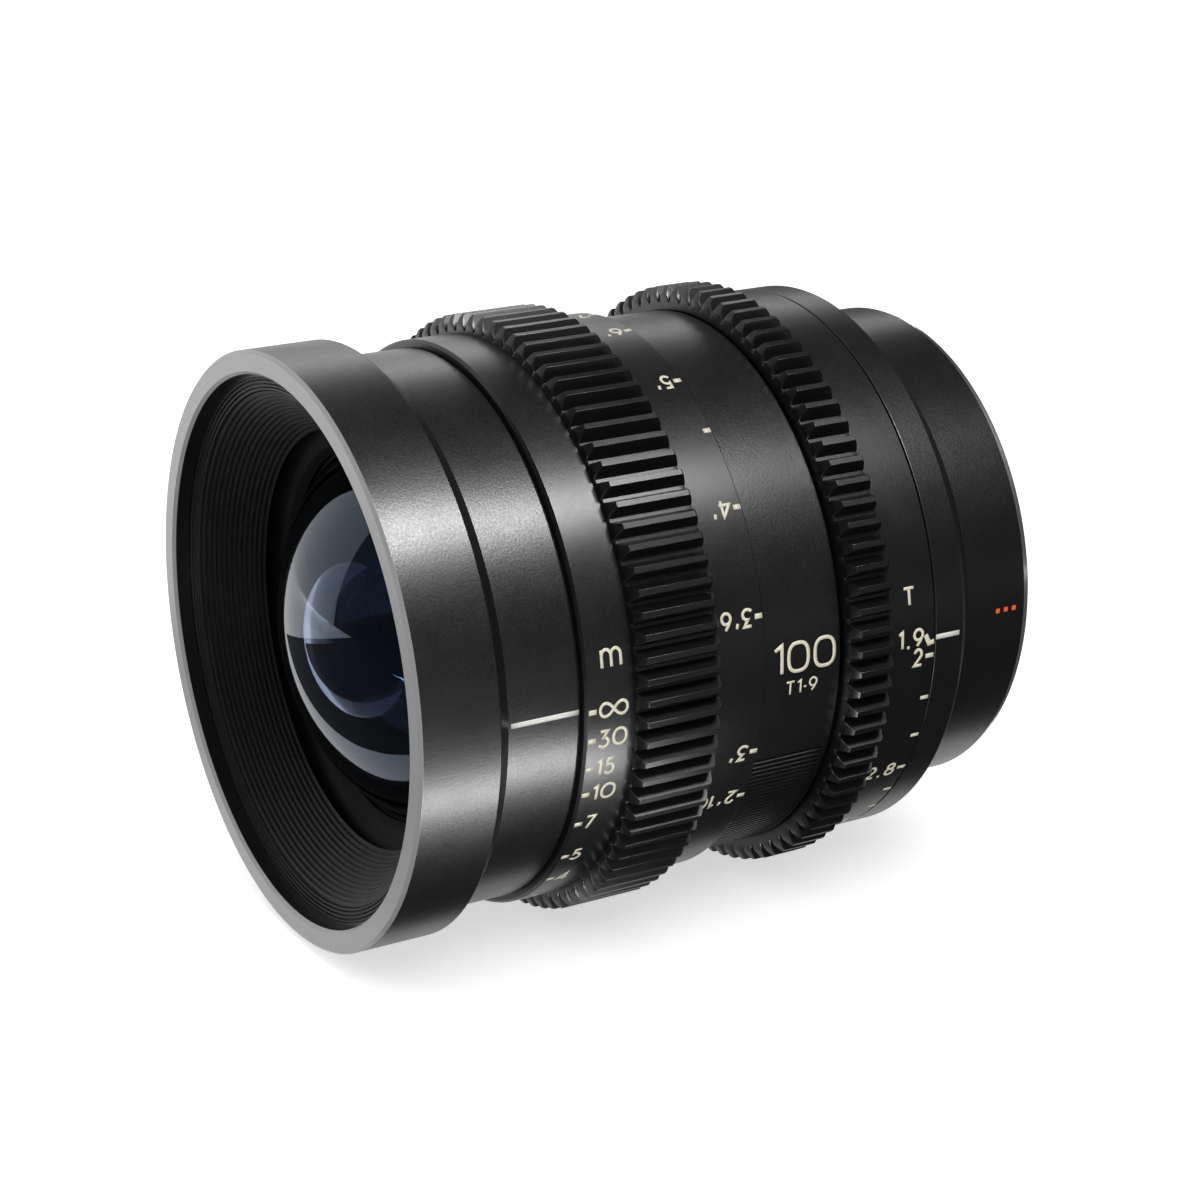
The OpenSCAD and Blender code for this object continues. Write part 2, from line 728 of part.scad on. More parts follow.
// Rear focus glass, hollow on its back
module focus_rear_element()
    color(glass)
        difference() {
            ring(0, focus_rear_glass_r, y_focus_step + step_t + seat_gap, y_focus_rear);
            ball(y_focus_rear - sag(focus_rear_curve, focus_rear_glass_r - 2 * glass_lip), -focus_rear_curve);
        }

module focus_rear_retainer()
    color(inner_black)
        ring(focus_rear_glass_r - glass_lip, focus_rear_glass_r + seat_gap,
             y_focus_rear + seat_gap, y_focus_cell_end - glass_gap);

// Pins that carry the cam's push into the cell
module cam_followers()
    color(steel)
        for (i = [0 : follower_count - 1]) {
            angle = follower_angle + i * follower_step;
            radial_bar(angle, y_follower, stud_r, focus_cell_r - stud_depth, focus_cell_r + slide_gap);
            radial_bar(angle, y_follower, follower_r, focus_cell_r + seat_gap, cam_r - slide_gap);
        }

// Fixed barrel between the rings, with a ribbed grip patch underneath
module centre_barrel()
    color(black)
        difference() {
            revolve([[guide_r + seat_gap, y_rear_journal], [journal_r, y_rear_journal], [journal_r, y_centre],
                     [centre_r - edge, y_centre], [centre_r, y_centre + edge], [centre_r, y_centre_end - 0.3],
                     [centre_r - 0.3, y_centre_end], [journal_r + seat_gap, y_centre_end],
                     [journal_r + seat_gap, y_rear_tube - seat_gap],
                     [guide_bore_r + 0.3, y_rear_tube - seat_gap],
                     [guide_bore_r + 0.3, y_guide_end], [guide_r + seat_gap, y_guide_end]]);
            plate(y_centre + grip_front, y_centre_end - grip_rear) grip_comb();
            tube_screw_holes(y_stop);
            radial_bar(follower_angle, y_stop, stop_pin_r + seat_gap, guide_r - over, ring_bore_r);
        }

// Grooves of the grip patch as one comb, symmetric about straight down
module grip_comb() {
    count = floor((180 + 2 * grip_start) / grip_pitch);
    outer_r = centre_r + over;
    floor_r = centre_r - grip_depth;
    polygon(concat(
        [for (i = [0 : count - 1], step = [[0.1, 0], [0.3, 1], [0.7, 1], [0.9, 0]])
            polar(step[1] == 1 ? floor_r : centre_r + 0.05, grip_start - (i + step[0]) * grip_pitch)],
        [for (i = [count : -1 : 0]) polar(outer_r, grip_start - i * grip_pitch)]));
}

module iris_thrust_washer()
    color(black)
        ring(ring_bore_r, journal_r + washer_width, y_centre_end, y_centre_end + seam - seat_gap);

// Iris ring: gear and T scale in one piece
module iris_ring()
    color(black)
        difference() {
            union() {
                revolve([[ring_bore_r, y_iris], [centre_r, y_iris], [t_scale_r, y_iris + 1],
                         [t_scale_r, y_iris_end - edge], [t_scale_r - edge, y_iris_end],
                         [ring_bore_r, y_iris_end]]);
                toothed_band(y_iris, y_t, iris_gear_phase);
            }
            radial_bar(drive_pin_angle, y_drive_pin, drive_pin_r + seat_gap,
                       ring_bore_r - over, ring_bore_r + drive_pin_reach + glass_gap);
        }

// Pin that turns the iris cam plate with the iris ring
module iris_drive_pin()
    color(steel)
        radial_bar(drive_pin_angle, y_drive_pin, drive_pin_r, cam_plate_r - drive_pin_depth,
                   ring_bore_r + drive_pin_reach);

// Tube that carries the iris ring and holds the iris pack
module rear_tube() {
    margin = (drive_pin_r + pin_gap) / iris_bore_r * 180 / PI;
    half = drive_pin_r + pin_gap;
    color(inner_black)
        difference() {
            revolve([[guide_bore_r + 0.9, y_rear_tube], [journal_r, y_rear_tube],
                     [journal_r, y_rear_tube_end],
                     [seat_bore_r, y_rear_tube_end], [seat_bore_r, y_base], [iris_bore_r, y_base],
                     [iris_bore_r, y_iris_shoulder], [guide_bore_r + 0.9, y_iris_shoulder]]);
            revolve_arc(drive_pin_angle - margin, drive_pin_angle + iris_throw + margin,
                        [[iris_bore_r - over, y_drive_pin - half], [journal_r + over, y_drive_pin - half],
                         [journal_r + over, y_drive_pin + half], [iris_bore_r - over, y_drive_pin + half]]);
        }
}

module iris_front_plate()
    color(inner_black)
        ring(clear_r, iris_bore_r - seat_gap,
             y_iris_shoulder + seat_gap, y_iris_shoulder + seat_gap + front_plate_t);

// Place of a blade's drive pin when the blade has swung, with its pivot on the +X axis
function drive_point(swing) = [pivot_circle_r, 0] + polar(drive_arm, arm_angle + swing);
function turned(p, angle) =
    [p[0] * cos(angle) - p[1] * sin(angle), p[0] * sin(angle) + p[1] * cos(angle)];
// The same place seen from the turning cam plate
function cam_point(turn) = turned(drive_point(turn * blade_swing / iris_throw), -turn);
function cam_normal(turn) =
    let (d = cam_point(turn + 0.5) - cam_point(turn - 0.5)) [-d[1], d[0]] / norm(d);

module cam_slot() {
    steps = 24;
    turns = [for (i = [0 : steps]) iris_throw * i / steps];
    polygon(concat(
        [for (t = turns) cam_point(t) + cam_slot_half * cam_normal(t)],
        [for (i = [steps : -1 : 0]) cam_point(turns[i]) - cam_slot_half * cam_normal(turns[i])]));
    for (t = [0, iris_throw])
        translate(cam_point(t)) circle(r = cam_slot_half, $fn = 24);
}

// Turning plate with one spiral slot for each blade
module iris_cam_plate()
    color(inner_black)
        difference() {
            plate(y_cam_plate, y_cam_plate_end)
                difference() {
                    circle(r = cam_plate_r);
                    circle(r = clear_r);
                    for (i = [0 : blade_count - 1])
                        rotate(i * blade_step) cam_slot();
                }
            radial_bar(drive_pin_angle, y_drive_pin, drive_pin_r + seat_gap,
                       cam_plate_r - drive_pin_depth - seat_gap, cam_plate_r + over);
        }

module wedge(r, from, to)
    polygon([[0, 0], for (i = [0 : 6]) polar(2 * r, from + (to - from) * i / 6)]);

// Outline of a blade with its pivot on the +X axis
module blade_outline() {
    intersection() {
        difference() {
            circle(r = blade_outer_r);
            circle(r = iris_open_r);
        }
        wedge(blade_outer_r, 0, blade_angle);
    }
    intersection() {
        difference() {
            circle(r = ear_r);
            circle(r = iris_open_r + 0.5);
        }
        wedge(ear_r, -3, ear_angle);
    }
}

// One blade on its own level, with a pivot pin to the base plate and a drive pin to the cam plate
module iris_blade(index) {
    y = y_blades + index * blade_pitch;
    turn = index * blade_step;
    pivot = polar(pivot_circle_r, turn);
    drive = turned(drive_point(0), turn);
    color(steel) {
        plate(y, y + blade_t) rotate(turn) blade_outline();
        plate(y + blade_t / 2, y_base + base_t - 0.3) translate(pivot) circle(r = blade_pin_r);
        plate(y_cam_plate + 0.4, y + blade_t / 2) translate(drive) circle(r = blade_pin_r);
    }
}

// Fixed plate that carries the blade pivots
module iris_base_plate()
    color(inner_black)
        plate(y_base, y_base + base_t)
            difference() {
                circle(r = seat_r);
                circle(r = clear_r);
                for (i = [0 : blade_count - 1])
                    translate(polar(pivot_circle_r, i * blade_step)) circle(r = blade_pin_r + pivot_gap);
            }

// Fixed ring with the T index and the sloped flank down to the mount barrel
module index_ring()
    color(black)
        revolve([[journal_r + seat_gap, y_index], [t_scale_r - edge, y_index], [t_scale_r, y_index + edge],
                 [t_scale_r, y_index_land], [mount_r + 0.4, y_mount], [mount_r + seat_gap, y_mount],
                 [mount_r + seat_gap, y_mount_step], [journal_r + seat_gap, y_mount_step]]);

// Seat of the fixed rear group
module rear_cell()
    color(inner_black)
        revolve([[rear_doublet_r + glass_gap, y_rear_flange], [seat_r, y_rear_flange],
                 [seat_r, y_rear_flange + rear_flange_t], [rear_cell_r, y_rear_flange + rear_flange_t],
                 [rear_cell_r, y_rear_cell_end], [rear_glass_r + glass_gap, y_rear_cell_end],
                 [rear_glass_r + glass_gap, y_partition + partition_t],
                 [rear_glass_r - glass_lip, y_partition + partition_t],
                 [rear_glass_r - glass_lip, y_partition], [rear_doublet_r + glass_gap, y_partition]]);

module rear_doublet()
    color(glass)
        difference() {
            ring(0, rear_doublet_r, y_doublet, y_partition - seat_gap);
            ball(y_doublet + sag(doublet_curve, rear_doublet_r - 2 * glass_lip), -doublet_curve);
        }

module rear_doublet_retainer()
    color(inner_black)
        ring(rear_doublet_r - glass_lip, rear_doublet_r + seat_gap,
             y_doublet - retainer_t, y_doublet - glass_gap);

module rear_element()
    color(glass)
        intersection() {
            ring(0, rear_glass_r, y_partition + partition_t + seat_gap, y_rear_cell_end);
            ball(y_rear_apex, -rear_curve);
        }

module rear_retainer()
    color(inner_black)
        ring(rear_glass_r - glass_lip, rear_glass_r + seat_gap,
             y_rear_apex - sag(rear_curve, rear_glass_r - glass_lip) + seat_gap, y_rear_cell_end - glass_gap);

// Narrow barrel that carries the camera mount
module mount_barrel()
    color(black)
        difference() {
            revolve([[mount_bore_r, y_mount_spigot], [seat_r, y_mount_spigot], [seat_r, y_mount_step],
                     [mount_r, y_mount_step], [mount_r, y_flange - edge], [mount_r - edge, y_flange],
                     [mount_flange_bore_r, y_flange], [mount_flange_bore_r, y_flange - mount_flange_t],
                     [mount_bore_r, y_flange - mount_flange_t]]);
            mount_marks(mark_size + 0.04, mark_depth, 1);
            mount_screw_shapes(mount_screw_r + seat_gap, mount_head_r);
        }

module mount_marks(size, depth, rise)
    for (i = [-1 : 1])
        spoke(index_angle, y_marks + i * mark_pitch)
            translate([mount_r - depth, -size / 2, -size / 2])
                cube([depth + rise, size, size]);

// Small inlaid squares that show where the lens locks
module mount_index_marks()
    color(orange)
        intersection() {
            mount_marks(mark_size, mark_depth - 0.02, 1);
            ring(0, mount_r, y_mount, y_flange);
        }

module mount_screw_shapes(shank_r, head_r)
    for (i = [0 : mount_screw_count - 1])
        spoke(45 + i * 360 / mount_screw_count, 0)
            translate([mount_screw_circle_r, -screw_depth, 0])
                rotate([90, 0, 0]) {
                    cylinder(r = shank_r, h = flange_t + mount_flange_t - 0.3);
                    cylinder(r1 = head_r, r2 = shank_r, h = head_r - shank_r);
                }

// Bright flange with a bayonet tube, three lugs and a lock hole
module bayonet_mount() {
    lock_r = 1.4;
    color(chrome)
        difference() {
            union() {
                revolve([[throat_r, y_flange + 0.02], [flange_r, y_flange + 0.02], [flange_r, -0.2],
                         [flange_r - 0.2, 0], [bayonet_r, 0], [bayonet_r, bayonet_len - 0.3],
                         [bayonet_r - 0.3, bayonet_len], [throat_r, bayonet_len]]);
                for (i = [0 : lug_count - 1])
                    revolve_arc(lug_start + i * 360 / lug_count, lug_start + lug_angle + i * 360 / lug_count,
                                [[bayonet_r - 0.4, y_lug], [lug_r, y_lug], [lug_r, y_lug + lug_t - 0.3],
                                 [lug_r - 0.3, y_lug + lug_t], [bayonet_r - 0.4, y_lug + lug_t]]);
            }
            mount_screw_shapes(mount_screw_r + seat_gap, mount_head_r + seat_gap);
            translate([0, 1, 0])
                spoke(200, 0)
                    translate([mount_screw_circle_r, 0, 0])
                        rotate([90, 0, 0]) cylinder(r = lock_r, h = 1.7);
        }
}

module mount_screws()
    color(chrome)
        mount_screw_shapes(mount_screw_r, mount_head_r);

// Black ring that hides the inside of the bayonet
module rear_light_mask()
    color(inner_black)
        revolve([[throat_r - 4.2, y_flange + 0.6], [throat_r - seat_gap, y_flange + 0.2],
                 [throat_r - seat_gap, y_flange + 2.4], [throat_r - 0.9, y_flange + 2.4],
                 [throat_r - 0.9, y_flange + 1.4], [throat_r - 4.2, y_flange + 1.4]]);

front_ring();
front_baffle();
witness_barrel();
front_cell();
front_element();
front_retainer();
second_element();
second_retainer();
guide_tube();
tube_screws();
focus_stop_pin();
focus_thrust_washers();
focus_ring();
cam_sleeve();
focus_drive_keys();
focus_cell();
focus_front_element();
focus_front_retainer();
focus_rear_element();
focus_rear_retainer();
cam_followers();
centre_barrel();
iris_thrust_washer();
iris_ring();
iris_drive_pin();
rear_tube();
iris_front_plate();
iris_cam_plate();
iris_base_plate();
index_ring();
rear_cell();
rear_doublet();
rear_doublet_retainer();
rear_element();
rear_retainer();
mount_barrel();
mount_index_marks();
bayonet_mount();
mount_screws();
rear_light_mask();
for (i = [1 : blade_count])
    iris_blade(i - 1);
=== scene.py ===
"""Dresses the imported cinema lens: turned barrels, gears, painted scales, glass, camera mount and a plain studio."""
import json
import math

import bmesh
import bpy
from bpy.props import FloatProperty, FloatVectorProperty, IntProperty, PointerProperty
from mathutils import Matrix, Vector


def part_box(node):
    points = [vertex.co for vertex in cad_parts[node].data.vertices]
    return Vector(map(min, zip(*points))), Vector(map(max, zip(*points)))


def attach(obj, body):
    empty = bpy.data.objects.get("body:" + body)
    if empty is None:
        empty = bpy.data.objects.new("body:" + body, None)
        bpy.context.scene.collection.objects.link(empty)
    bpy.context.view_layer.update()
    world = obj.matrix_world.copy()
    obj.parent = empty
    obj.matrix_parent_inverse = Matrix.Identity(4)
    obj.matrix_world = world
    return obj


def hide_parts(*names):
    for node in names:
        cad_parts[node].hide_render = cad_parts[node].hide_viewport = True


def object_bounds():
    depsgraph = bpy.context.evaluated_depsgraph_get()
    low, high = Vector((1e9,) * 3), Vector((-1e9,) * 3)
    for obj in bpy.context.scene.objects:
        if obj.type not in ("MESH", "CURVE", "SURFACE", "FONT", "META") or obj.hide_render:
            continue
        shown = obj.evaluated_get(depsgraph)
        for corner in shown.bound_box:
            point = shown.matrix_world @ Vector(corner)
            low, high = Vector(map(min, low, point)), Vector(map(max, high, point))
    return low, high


bl_info = {
    "name": "Cinema prime lens",
    "version": (1, 0, 0),
    "blender": (4, 5, 0),
    "location": "3D View > Sidebar > Lens",
    "description": "Models the visible pieces of a geared cinema lens over its packed CAD frame",
    "category": "Object",
}

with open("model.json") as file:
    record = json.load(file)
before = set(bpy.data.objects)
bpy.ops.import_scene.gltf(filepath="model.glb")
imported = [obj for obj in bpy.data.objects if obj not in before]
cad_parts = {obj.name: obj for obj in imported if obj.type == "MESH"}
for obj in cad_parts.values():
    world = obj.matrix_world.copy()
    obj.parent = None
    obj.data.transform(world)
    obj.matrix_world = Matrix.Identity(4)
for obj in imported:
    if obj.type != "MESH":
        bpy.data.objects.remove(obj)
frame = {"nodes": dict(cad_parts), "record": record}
CAD_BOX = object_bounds()
CAD_NODES = {name: bpy.data.objects[name] for name in frame["nodes"]}

MM = 0.001
DOUBLES = 0.0015 * MM
LENS_LENGTH = -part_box("front_ring")[0][1] / MM


class LensSizes(bpy.types.PropertyGroup):
    """Sizes that shape the turned and painted pieces"""

    turn_steps: IntProperty(
        name="Turning steps", description="Segments round each turned piece", default=240, min=60, max=720)
    rim_round: FloatProperty(
        name="Edge rounding", description="Rounding of the turned edges", default=0.12 * MM, unit="LENGTH")
    tooth_round: FloatProperty(
        name="Tooth rounding", description="Bevel along the gear teeth", default=0.07 * MM, unit="LENGTH")
    paint_height: FloatProperty(
        name="Paint height", description="How far the filled marks stand proud", default=0.02 * MM, unit="LENGTH")
    stroke: FloatProperty(
        name="Numeral weight", description="Stroke width of the numerals over their height", default=0.152)
    metre_cap: FloatProperty(
        name="Distance numerals", description="Height of the distance numerals", default=2.33 * MM, unit="LENGTH")
    stop_cap: FloatProperty(
        name="Stop numerals", description="Height of the stop numerals", default=2.4 * MM, unit="LENGTH")
    focal_cap: FloatProperty(
        name="Focal length numerals", description="Height of the focal length", default=3.9 * MM, unit="LENGTH")


def colour(name, description, default):
    return FloatVectorProperty(name=name, description=description, default=default, subtype="COLOR", size=3,
                               min=0, max=1)


class LensColours(bpy.types.PropertyGroup):
    """Colours of the finishes"""

    barrel: colour("Barrel", "Satin black of the barrels", (0.0055, 0.0055, 0.0058))
    # The front lip colour is painted light: a lighter grey that stands in for the light the black front face reflects.
    painted_lit_lip: colour("Front lip", "Lighter satin face of the front ring", (0.3, 0.3, 0.305))
    baffle: colour("Baffle", "Matte black inside", (0.005, 0.005, 0.0055))
    ivory: colour("Scale paint", "Warm paint of the numerals", (0.86, 0.81, 0.62))
    white: colour("Index paint", "White paint of the index lines", (0.84, 0.83, 0.76))
    orange: colour("Mount marks", "Enamel of the mount marks", (0.95, 0.13, 0.01))
    chrome: colour("Mount", "Bright plating of the mount", (0.72, 0.73, 0.75))
    brass: colour("Cam brass", "Lapped brass of the focus drive", (0.62, 0.45, 0.18))
    steel: colour("Pin steel", "Ground steel of pins and blades", (0.4, 0.4, 0.42))
    glass: colour("Front glass", "Tint of the front glass", (0.14, 0.175, 0.25))
    inner_glass: colour("Inner glass", "Tint of the glass further in", (0.05, 0.06, 0.09))
    floor: colour("Floor", "Pale studio floor", (0.86, 0.86, 0.86))


def sizes():
    return bpy.context.scene.lens_sizes


def colours():
    return bpy.context.scene.lens_colours


# Places on the lens: radius and station in millimetres, station counted back from the front face
def rim(radius, degrees, station):
    turn = math.radians(degrees)
    return Vector((radius * math.cos(turn), station - LENS_LENGTH, radius * math.sin(turn))) * MM


def begin(name):
    """Adds a small plane, alone in the selection, and opens it in edit mode."""
    bpy.ops.object.select_all(action="DESELECT")
    bpy.ops.mesh.primitive_plane_add(size=MM)
    piece = bpy.context.object
    piece.name = piece.data.name = name
    bpy.ops.object.mode_set(mode="EDIT")
    return piece


def draw(name, places):
    """Shrinks the plane to a point and extrudes that from place to place."""
    piece = begin(name)
    bpy.ops.mesh.merge(type="CENTER")
    bpy.ops.transform.translate(value=places[0])
    for here, there in zip(places, places[1:]):
        bpy.ops.mesh.extrude_region_move(TRANSFORM_OT_translate={"value": there - here})
    bpy.ops.mesh.select_all(action="SELECT")
    return piece


def sweep(name, rows):
    """Draws the first row of places and extrudes it to each next row."""
    piece = draw(name, rows[0])
    for last, row in zip(rows, rows[1:]):
        bpy.ops.mesh.extrude_region_move()
        mesh = bmesh.from_edit_mesh(piece.data)
        for point in [v for v in mesh.verts if v.select]:
            near = min(range(len(last)), key=lambda i: (point.co - last[i]).length_squared)
            point.co = row[near]
        bmesh.update_edit_mesh(piece.data)
    return piece


def close(piece, smooth=40):
    """Merges doubles, turns the faces outwards and smooths what is round."""
    bpy.ops.mesh.select_all(action="SELECT")
    bpy.ops.mesh.remove_doubles(threshold=DOUBLES)
    bpy.ops.mesh.normals_make_consistent(inside=False)
    bpy.ops.object.mode_set(mode="OBJECT")
    bpy.ops.object.shade_smooth_by_angle(angle=math.radians(smooth))
    return piece


def join(name, pieces):
    bpy.ops.object.select_all(action="DESELECT")
    for piece in pieces:
        piece.select_set(True)
    bpy.context.view_layer.objects.active = pieces[0]
    if len(pieces) > 1:
        bpy.ops.object.join()
    whole = bpy.context.object
    whole.name = whole.data.name = name
    return whole


def twin(piece):
    """A copy of a piece with a mesh of its own."""
    copy = piece.copy()
    copy.data = piece.data.copy()
    bpy.context.collection.objects.link(copy)
    return copy


def modify(piece, kind, **settings):
    """Adds a modifier with these settings and applies it."""
    bpy.context.view_layer.objects.active = piece
    change = piece.modifiers.new(kind.title(), kind)
    for key, value in settings.items():
        setattr(change, key, value)
    bpy.ops.object.modifier_apply(modifier=change.name)


def hand_over(piece, body, look, nodes=()):
    """Puts a finished piece on its body, in place of the CAD nodes that it stands for."""
    piece.data.materials.clear()
    piece.data.materials.append(look)
    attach(piece, body)
    if nodes:
        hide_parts(*nodes)


def rounded(corners, bend=3):
    """Closed outline with its corners rounded: (radius, station) stays sharp, a third number rounds it."""
    outline = []
    for i, corner in enumerate(corners):
        here = Vector(corner[:2])
        if len(corner) == 2:
            outline.append(here)
            continue
        before = Vector(corners[i - 1][:2]) - here
        after = Vector(corners[(i + 1) % len(corners)][:2]) - here
        half = before.angle(after) / 2
        reach = min(corner[2] / math.tan(half), 0.42 * before.length, 0.42 * after.length)
        radius = reach * math.tan(half)
        before.normalize()
        after.normalize()
        middle = here + (before + after).normalized() * radius / math.sin(half)
        start, end = here + before * reach - middle, here + after * reach - middle
        outline.append(here + before * reach * 1.15)
        for k in range(bend + 1):
            outline.append(middle + (start.lerp(end, k / bend)).normalized() * radius)
        outline.append(here + after * reach * 1.15)
    return outline


def turn(name, corners, steps=None):
    """Turns a closed outline round the optical axis."""
    outline = rounded(corners)
    piece = draw(name, [rim(r, 0, s) for r, s in outline + outline[:1]])
    bpy.ops.mesh.spin(steps=steps or sizes().turn_steps, angle=2 * math.pi, center=(0, 0, 0), axis=(0, 1, 0))
    return close(piece)


def arc(middle, radius, half, count):
    """Outline points of a spherical face, bulging to the front, from the axis out to the half aperture."""
    limit = math.asin(half / radius)
    return [(radius * math.sin(limit * k / count), middle - radius * math.cos(limit * k / count))
            for k in range(count + 1)]


# Gear teeth
TEETH, MODULE, FLANK_ANGLE = 90, 0.8, 20
PITCH_R, ROOT_R, TIP_R = 36.0, 35.0, 36.8
BAND_BORE, BAND_FACE = 33.4, 34.7


def tooth_half(radius):
    """Half the angle of a tooth at a radius, in degrees."""
    flank = (radius - PITCH_R) * math.tan(math.radians(FLANK_ANGLE))
    return math.degrees((math.pi * MODULE / 4 - flank) / radius)


def toothed_band(name, front, back, phase):
    """One tooth with half a valley on each side, swept from front to back, bevelled and spun into a ring."""
    low, face = BAND_BORE, BAND_FACE
    steps = [(low, front, low, front), (face, front, face, front), (35.62, front, ROOT_R, front + 0.2),
             (36.53, front + 0.45, ROOT_R, front + 0.5), (TIP_R, front + 0.72, ROOT_R, front + 0.75),
             (TIP_R, back - 0.92, ROOT_R, back - 0.92), (36.35, back - 0.55, ROOT_R, back - 0.45),
             (35.2, back - 0.1, ROOT_R - 0.05, back - 0.08), (face, back, face, back), (low, back, low, back),
             (low, front, low, front)]
    rows = []
    for top_r, top_s, floor_r, floor_s in steps:
        valley, foot, head = 180 / TEETH, tooth_half(ROOT_R), tooth_half(max(top_r, 35.1))
        columns = [(-valley, floor_r, floor_s), (-foot, floor_r, floor_s), (-head, top_r, top_s), (0, top_r, top_s),
                   (head, top_r, top_s), (foot, floor_r, floor_s), (valley, floor_r, floor_s)]
        rows.append([rim(r, phase + a, s) for a, r, s in columns])
    tooth = sweep(name, rows)
    close(tooth)
    modify(tooth, "BEVEL", width=sizes().tooth_round, segments=2, limit_method="ANGLE", angle_limit=math.radians(24))
    bpy.ops.object.mode_set(mode="EDIT")
    bpy.ops.mesh.select_all(action="SELECT")
    bpy.ops.mesh.spin(steps=TEETH - 1, dupli=True, angle=2 * math.pi * (TEETH - 1) / TEETH, center=(0, 0, 0),
                      axis=(0, 1, 0))
    return close(tooth, 32)


# Numerals and marks, drawn as strokes on a cell that is one high
def bow(cx, cy, rx, ry, start, end, count=14):
    return [(cx + rx * math.cos(math.radians(start + (end - start) * k / count)),
             cy + ry * math.sin(math.radians(start + (end - start) * k / count))) for k in range(count + 1)]


def oval(power, count=36):
    """Closed round of a nought, squarer with a higher power."""
    points = []
    for k in range(count):
        c, s = math.cos(2 * math.pi * k / count), math.sin(2 * math.pi * k / count)
        points.append((0.5 + 0.5 * math.copysign(abs(c) ** (2 / power), c),
                       0.5 + 0.5 * math.copysign(abs(s) ** (2 / power), s)))
    return points + points[:1]


def endless(count=48):
    """Closed figure of the sign for infinity."""
    points = []
    for k in range(count + 1):
        t = 2 * math.pi * k / count
        reach = 1 + math.sin(t) ** 2
        points.append((0.5 + 0.5 * math.cos(t) / reach, 0.5 + 1.414 * math.sin(t) * math.cos(t) / reach))
    return points


GLYPHS = {
    "0": (0.87, [oval(2.25)]),
    "O": (0.81, [oval(2.7)]),
    "1": (0.36, [[(0, 0.84), (1, 1), (1, 0)]]),
    "2": (0.6, [bow(0.47, 0.7, 0.47, 0.3, 165, -25) + [(0, 0), (1, 0)]]),
    "3": (0.66, [[(0.1, 1), (0.93, 1), (0.42, 0.6)] + bow(0.45, 0.3, 0.55, 0.3, 80, -150)]),
    "4": (0.74, [[(0.76, 0), (0.76, 1), (0, 0.26), (1, 0.26)]]),
    "5": (0.6, [[(0.95, 1), (0.24, 1), (0.12, 0.56)] + bow(0.44, 0.32, 0.56, 0.32, 118, -150)]),
    "6": (0.66, [bow(0.5, 0.32, 0.5, 0.32, 150, 510, 28), [(0.07, 0.48), (0.3, 0.74), (0.66, 1)]]),
    "7": (0.62, [[(0, 1), (1, 1), (0.25, 0)]]),
    "8": (0.62, [bow(0.5, 0.77, 0.42, 0.23, 0, 360, 22), bow(0.5, 0.27, 0.5, 0.27, 0, 360, 24)]),
    "9": (0.66, [bow(0.5, 0.68, 0.5, 0.32, -30, 330, 28), [(0.93, 0.52), (0.7, 0.26), (0.34, 0)]]),
    ".": (0.3, [[(0, 0), (1, 0)]]),
    ":": (0.3, [[(0, 0.42), (1, 0.42)]]),
    "'": (0.3, [[(0.75, 1.02), (0.25, 0.72)]]),
    "T": (0.74, [[(0, 1), (1, 1)], [(0.5, 1), (0.5, 0)]]),
    "m": (1.18, [[(0, 1), (0, 0)], [(0, 0.55)] + bow(0.25, 0.62, 0.25, 0.38, 170, 0) + [(0.5, 0)],
                 [(0.5, 0.55)] + bow(0.75, 0.62, 0.25, 0.38, 170, 0) + [(1, 0)]]),
    "inf": (1.68, [endless()]),
}
CLOSE_UP = 0.13
ENDLESS_HEIGHT = 0.83


def height(sign):
    """How high a sign stands in its cell."""
    return ENDLESS_HEIGHT if sign == "inf" else 1


def finer(points, longest):
    """Adds points so that no step is longer than this."""
    out = points[:1]
    for a, b in zip(points, points[1:]):
        count = max(1, math.ceil((b - a).length / longest))
        out += [a.lerp(b, k / count) for k in range(1, count + 1)]
    return out


def ribbon(points, width):
    """Left and right edges of a stroke along these points, mitred at the corners."""
    closed = (points[0] - points[-1]).length < 1e-6
    rows = []
    for i, here in enumerate(points):
        before = points[i - 1] if i else (points[-2] if closed else None)
        after = points[i + 1] if i + 1 < len(points) else (points[1] if closed else None)
        along = [(here - before).normalized()] if before else []
        along += [(after - here).normalized()] if after else []
        way = sum(along, Vector((0, 0))).normalized()
        stretch = 1 / max(0.5, way.dot(along[0]))
        side = Vector((-way.y, way.x)) * width / 2 * stretch
        rows.append([(here + side).to_3d(), (here - side).to_3d()])
    return rows


def glyph(sign, cap, weight):
    """A numeral as a thin flat solid in the XY plane, standing on the origin."""
    width, strokes = GLYPHS[sign]
    inner = Vector((width - weight, height(sign) - weight)) * cap
    corner = Vector((weight, weight)) * cap / 2
    flats = []
    for stroke in strokes:
        points = [corner + Vector((u * inner.x, v * inner.y)) for u, v in stroke]
        flats.append(close(sweep("stroke", ribbon(finer(points, 0.45 * MM), weight * cap))))
    return join("glyph", flats)


def dash(length, width):
    """A straight mark as a flat strip along X."""
    path = finer([Vector((0, 0)), Vector((length, 0))], 2 * MM)
    return close(sweep("dash", ribbon(path, width)))


def wrap(flat, radius, station, degrees, turned=False, spread=0):
    """Copies a flat mark onto the barrel: X runs back along the axis, Y runs up round it."""
    mark = twin(flat)
    way = -1 if turned else 1
    for point in mark.data.vertices:
        u, v = point.co.x / MM * way, (point.co.y / MM + spread) * way
        point.co = rim(radius, degrees + math.degrees(v / radius), station + u)
    return mark


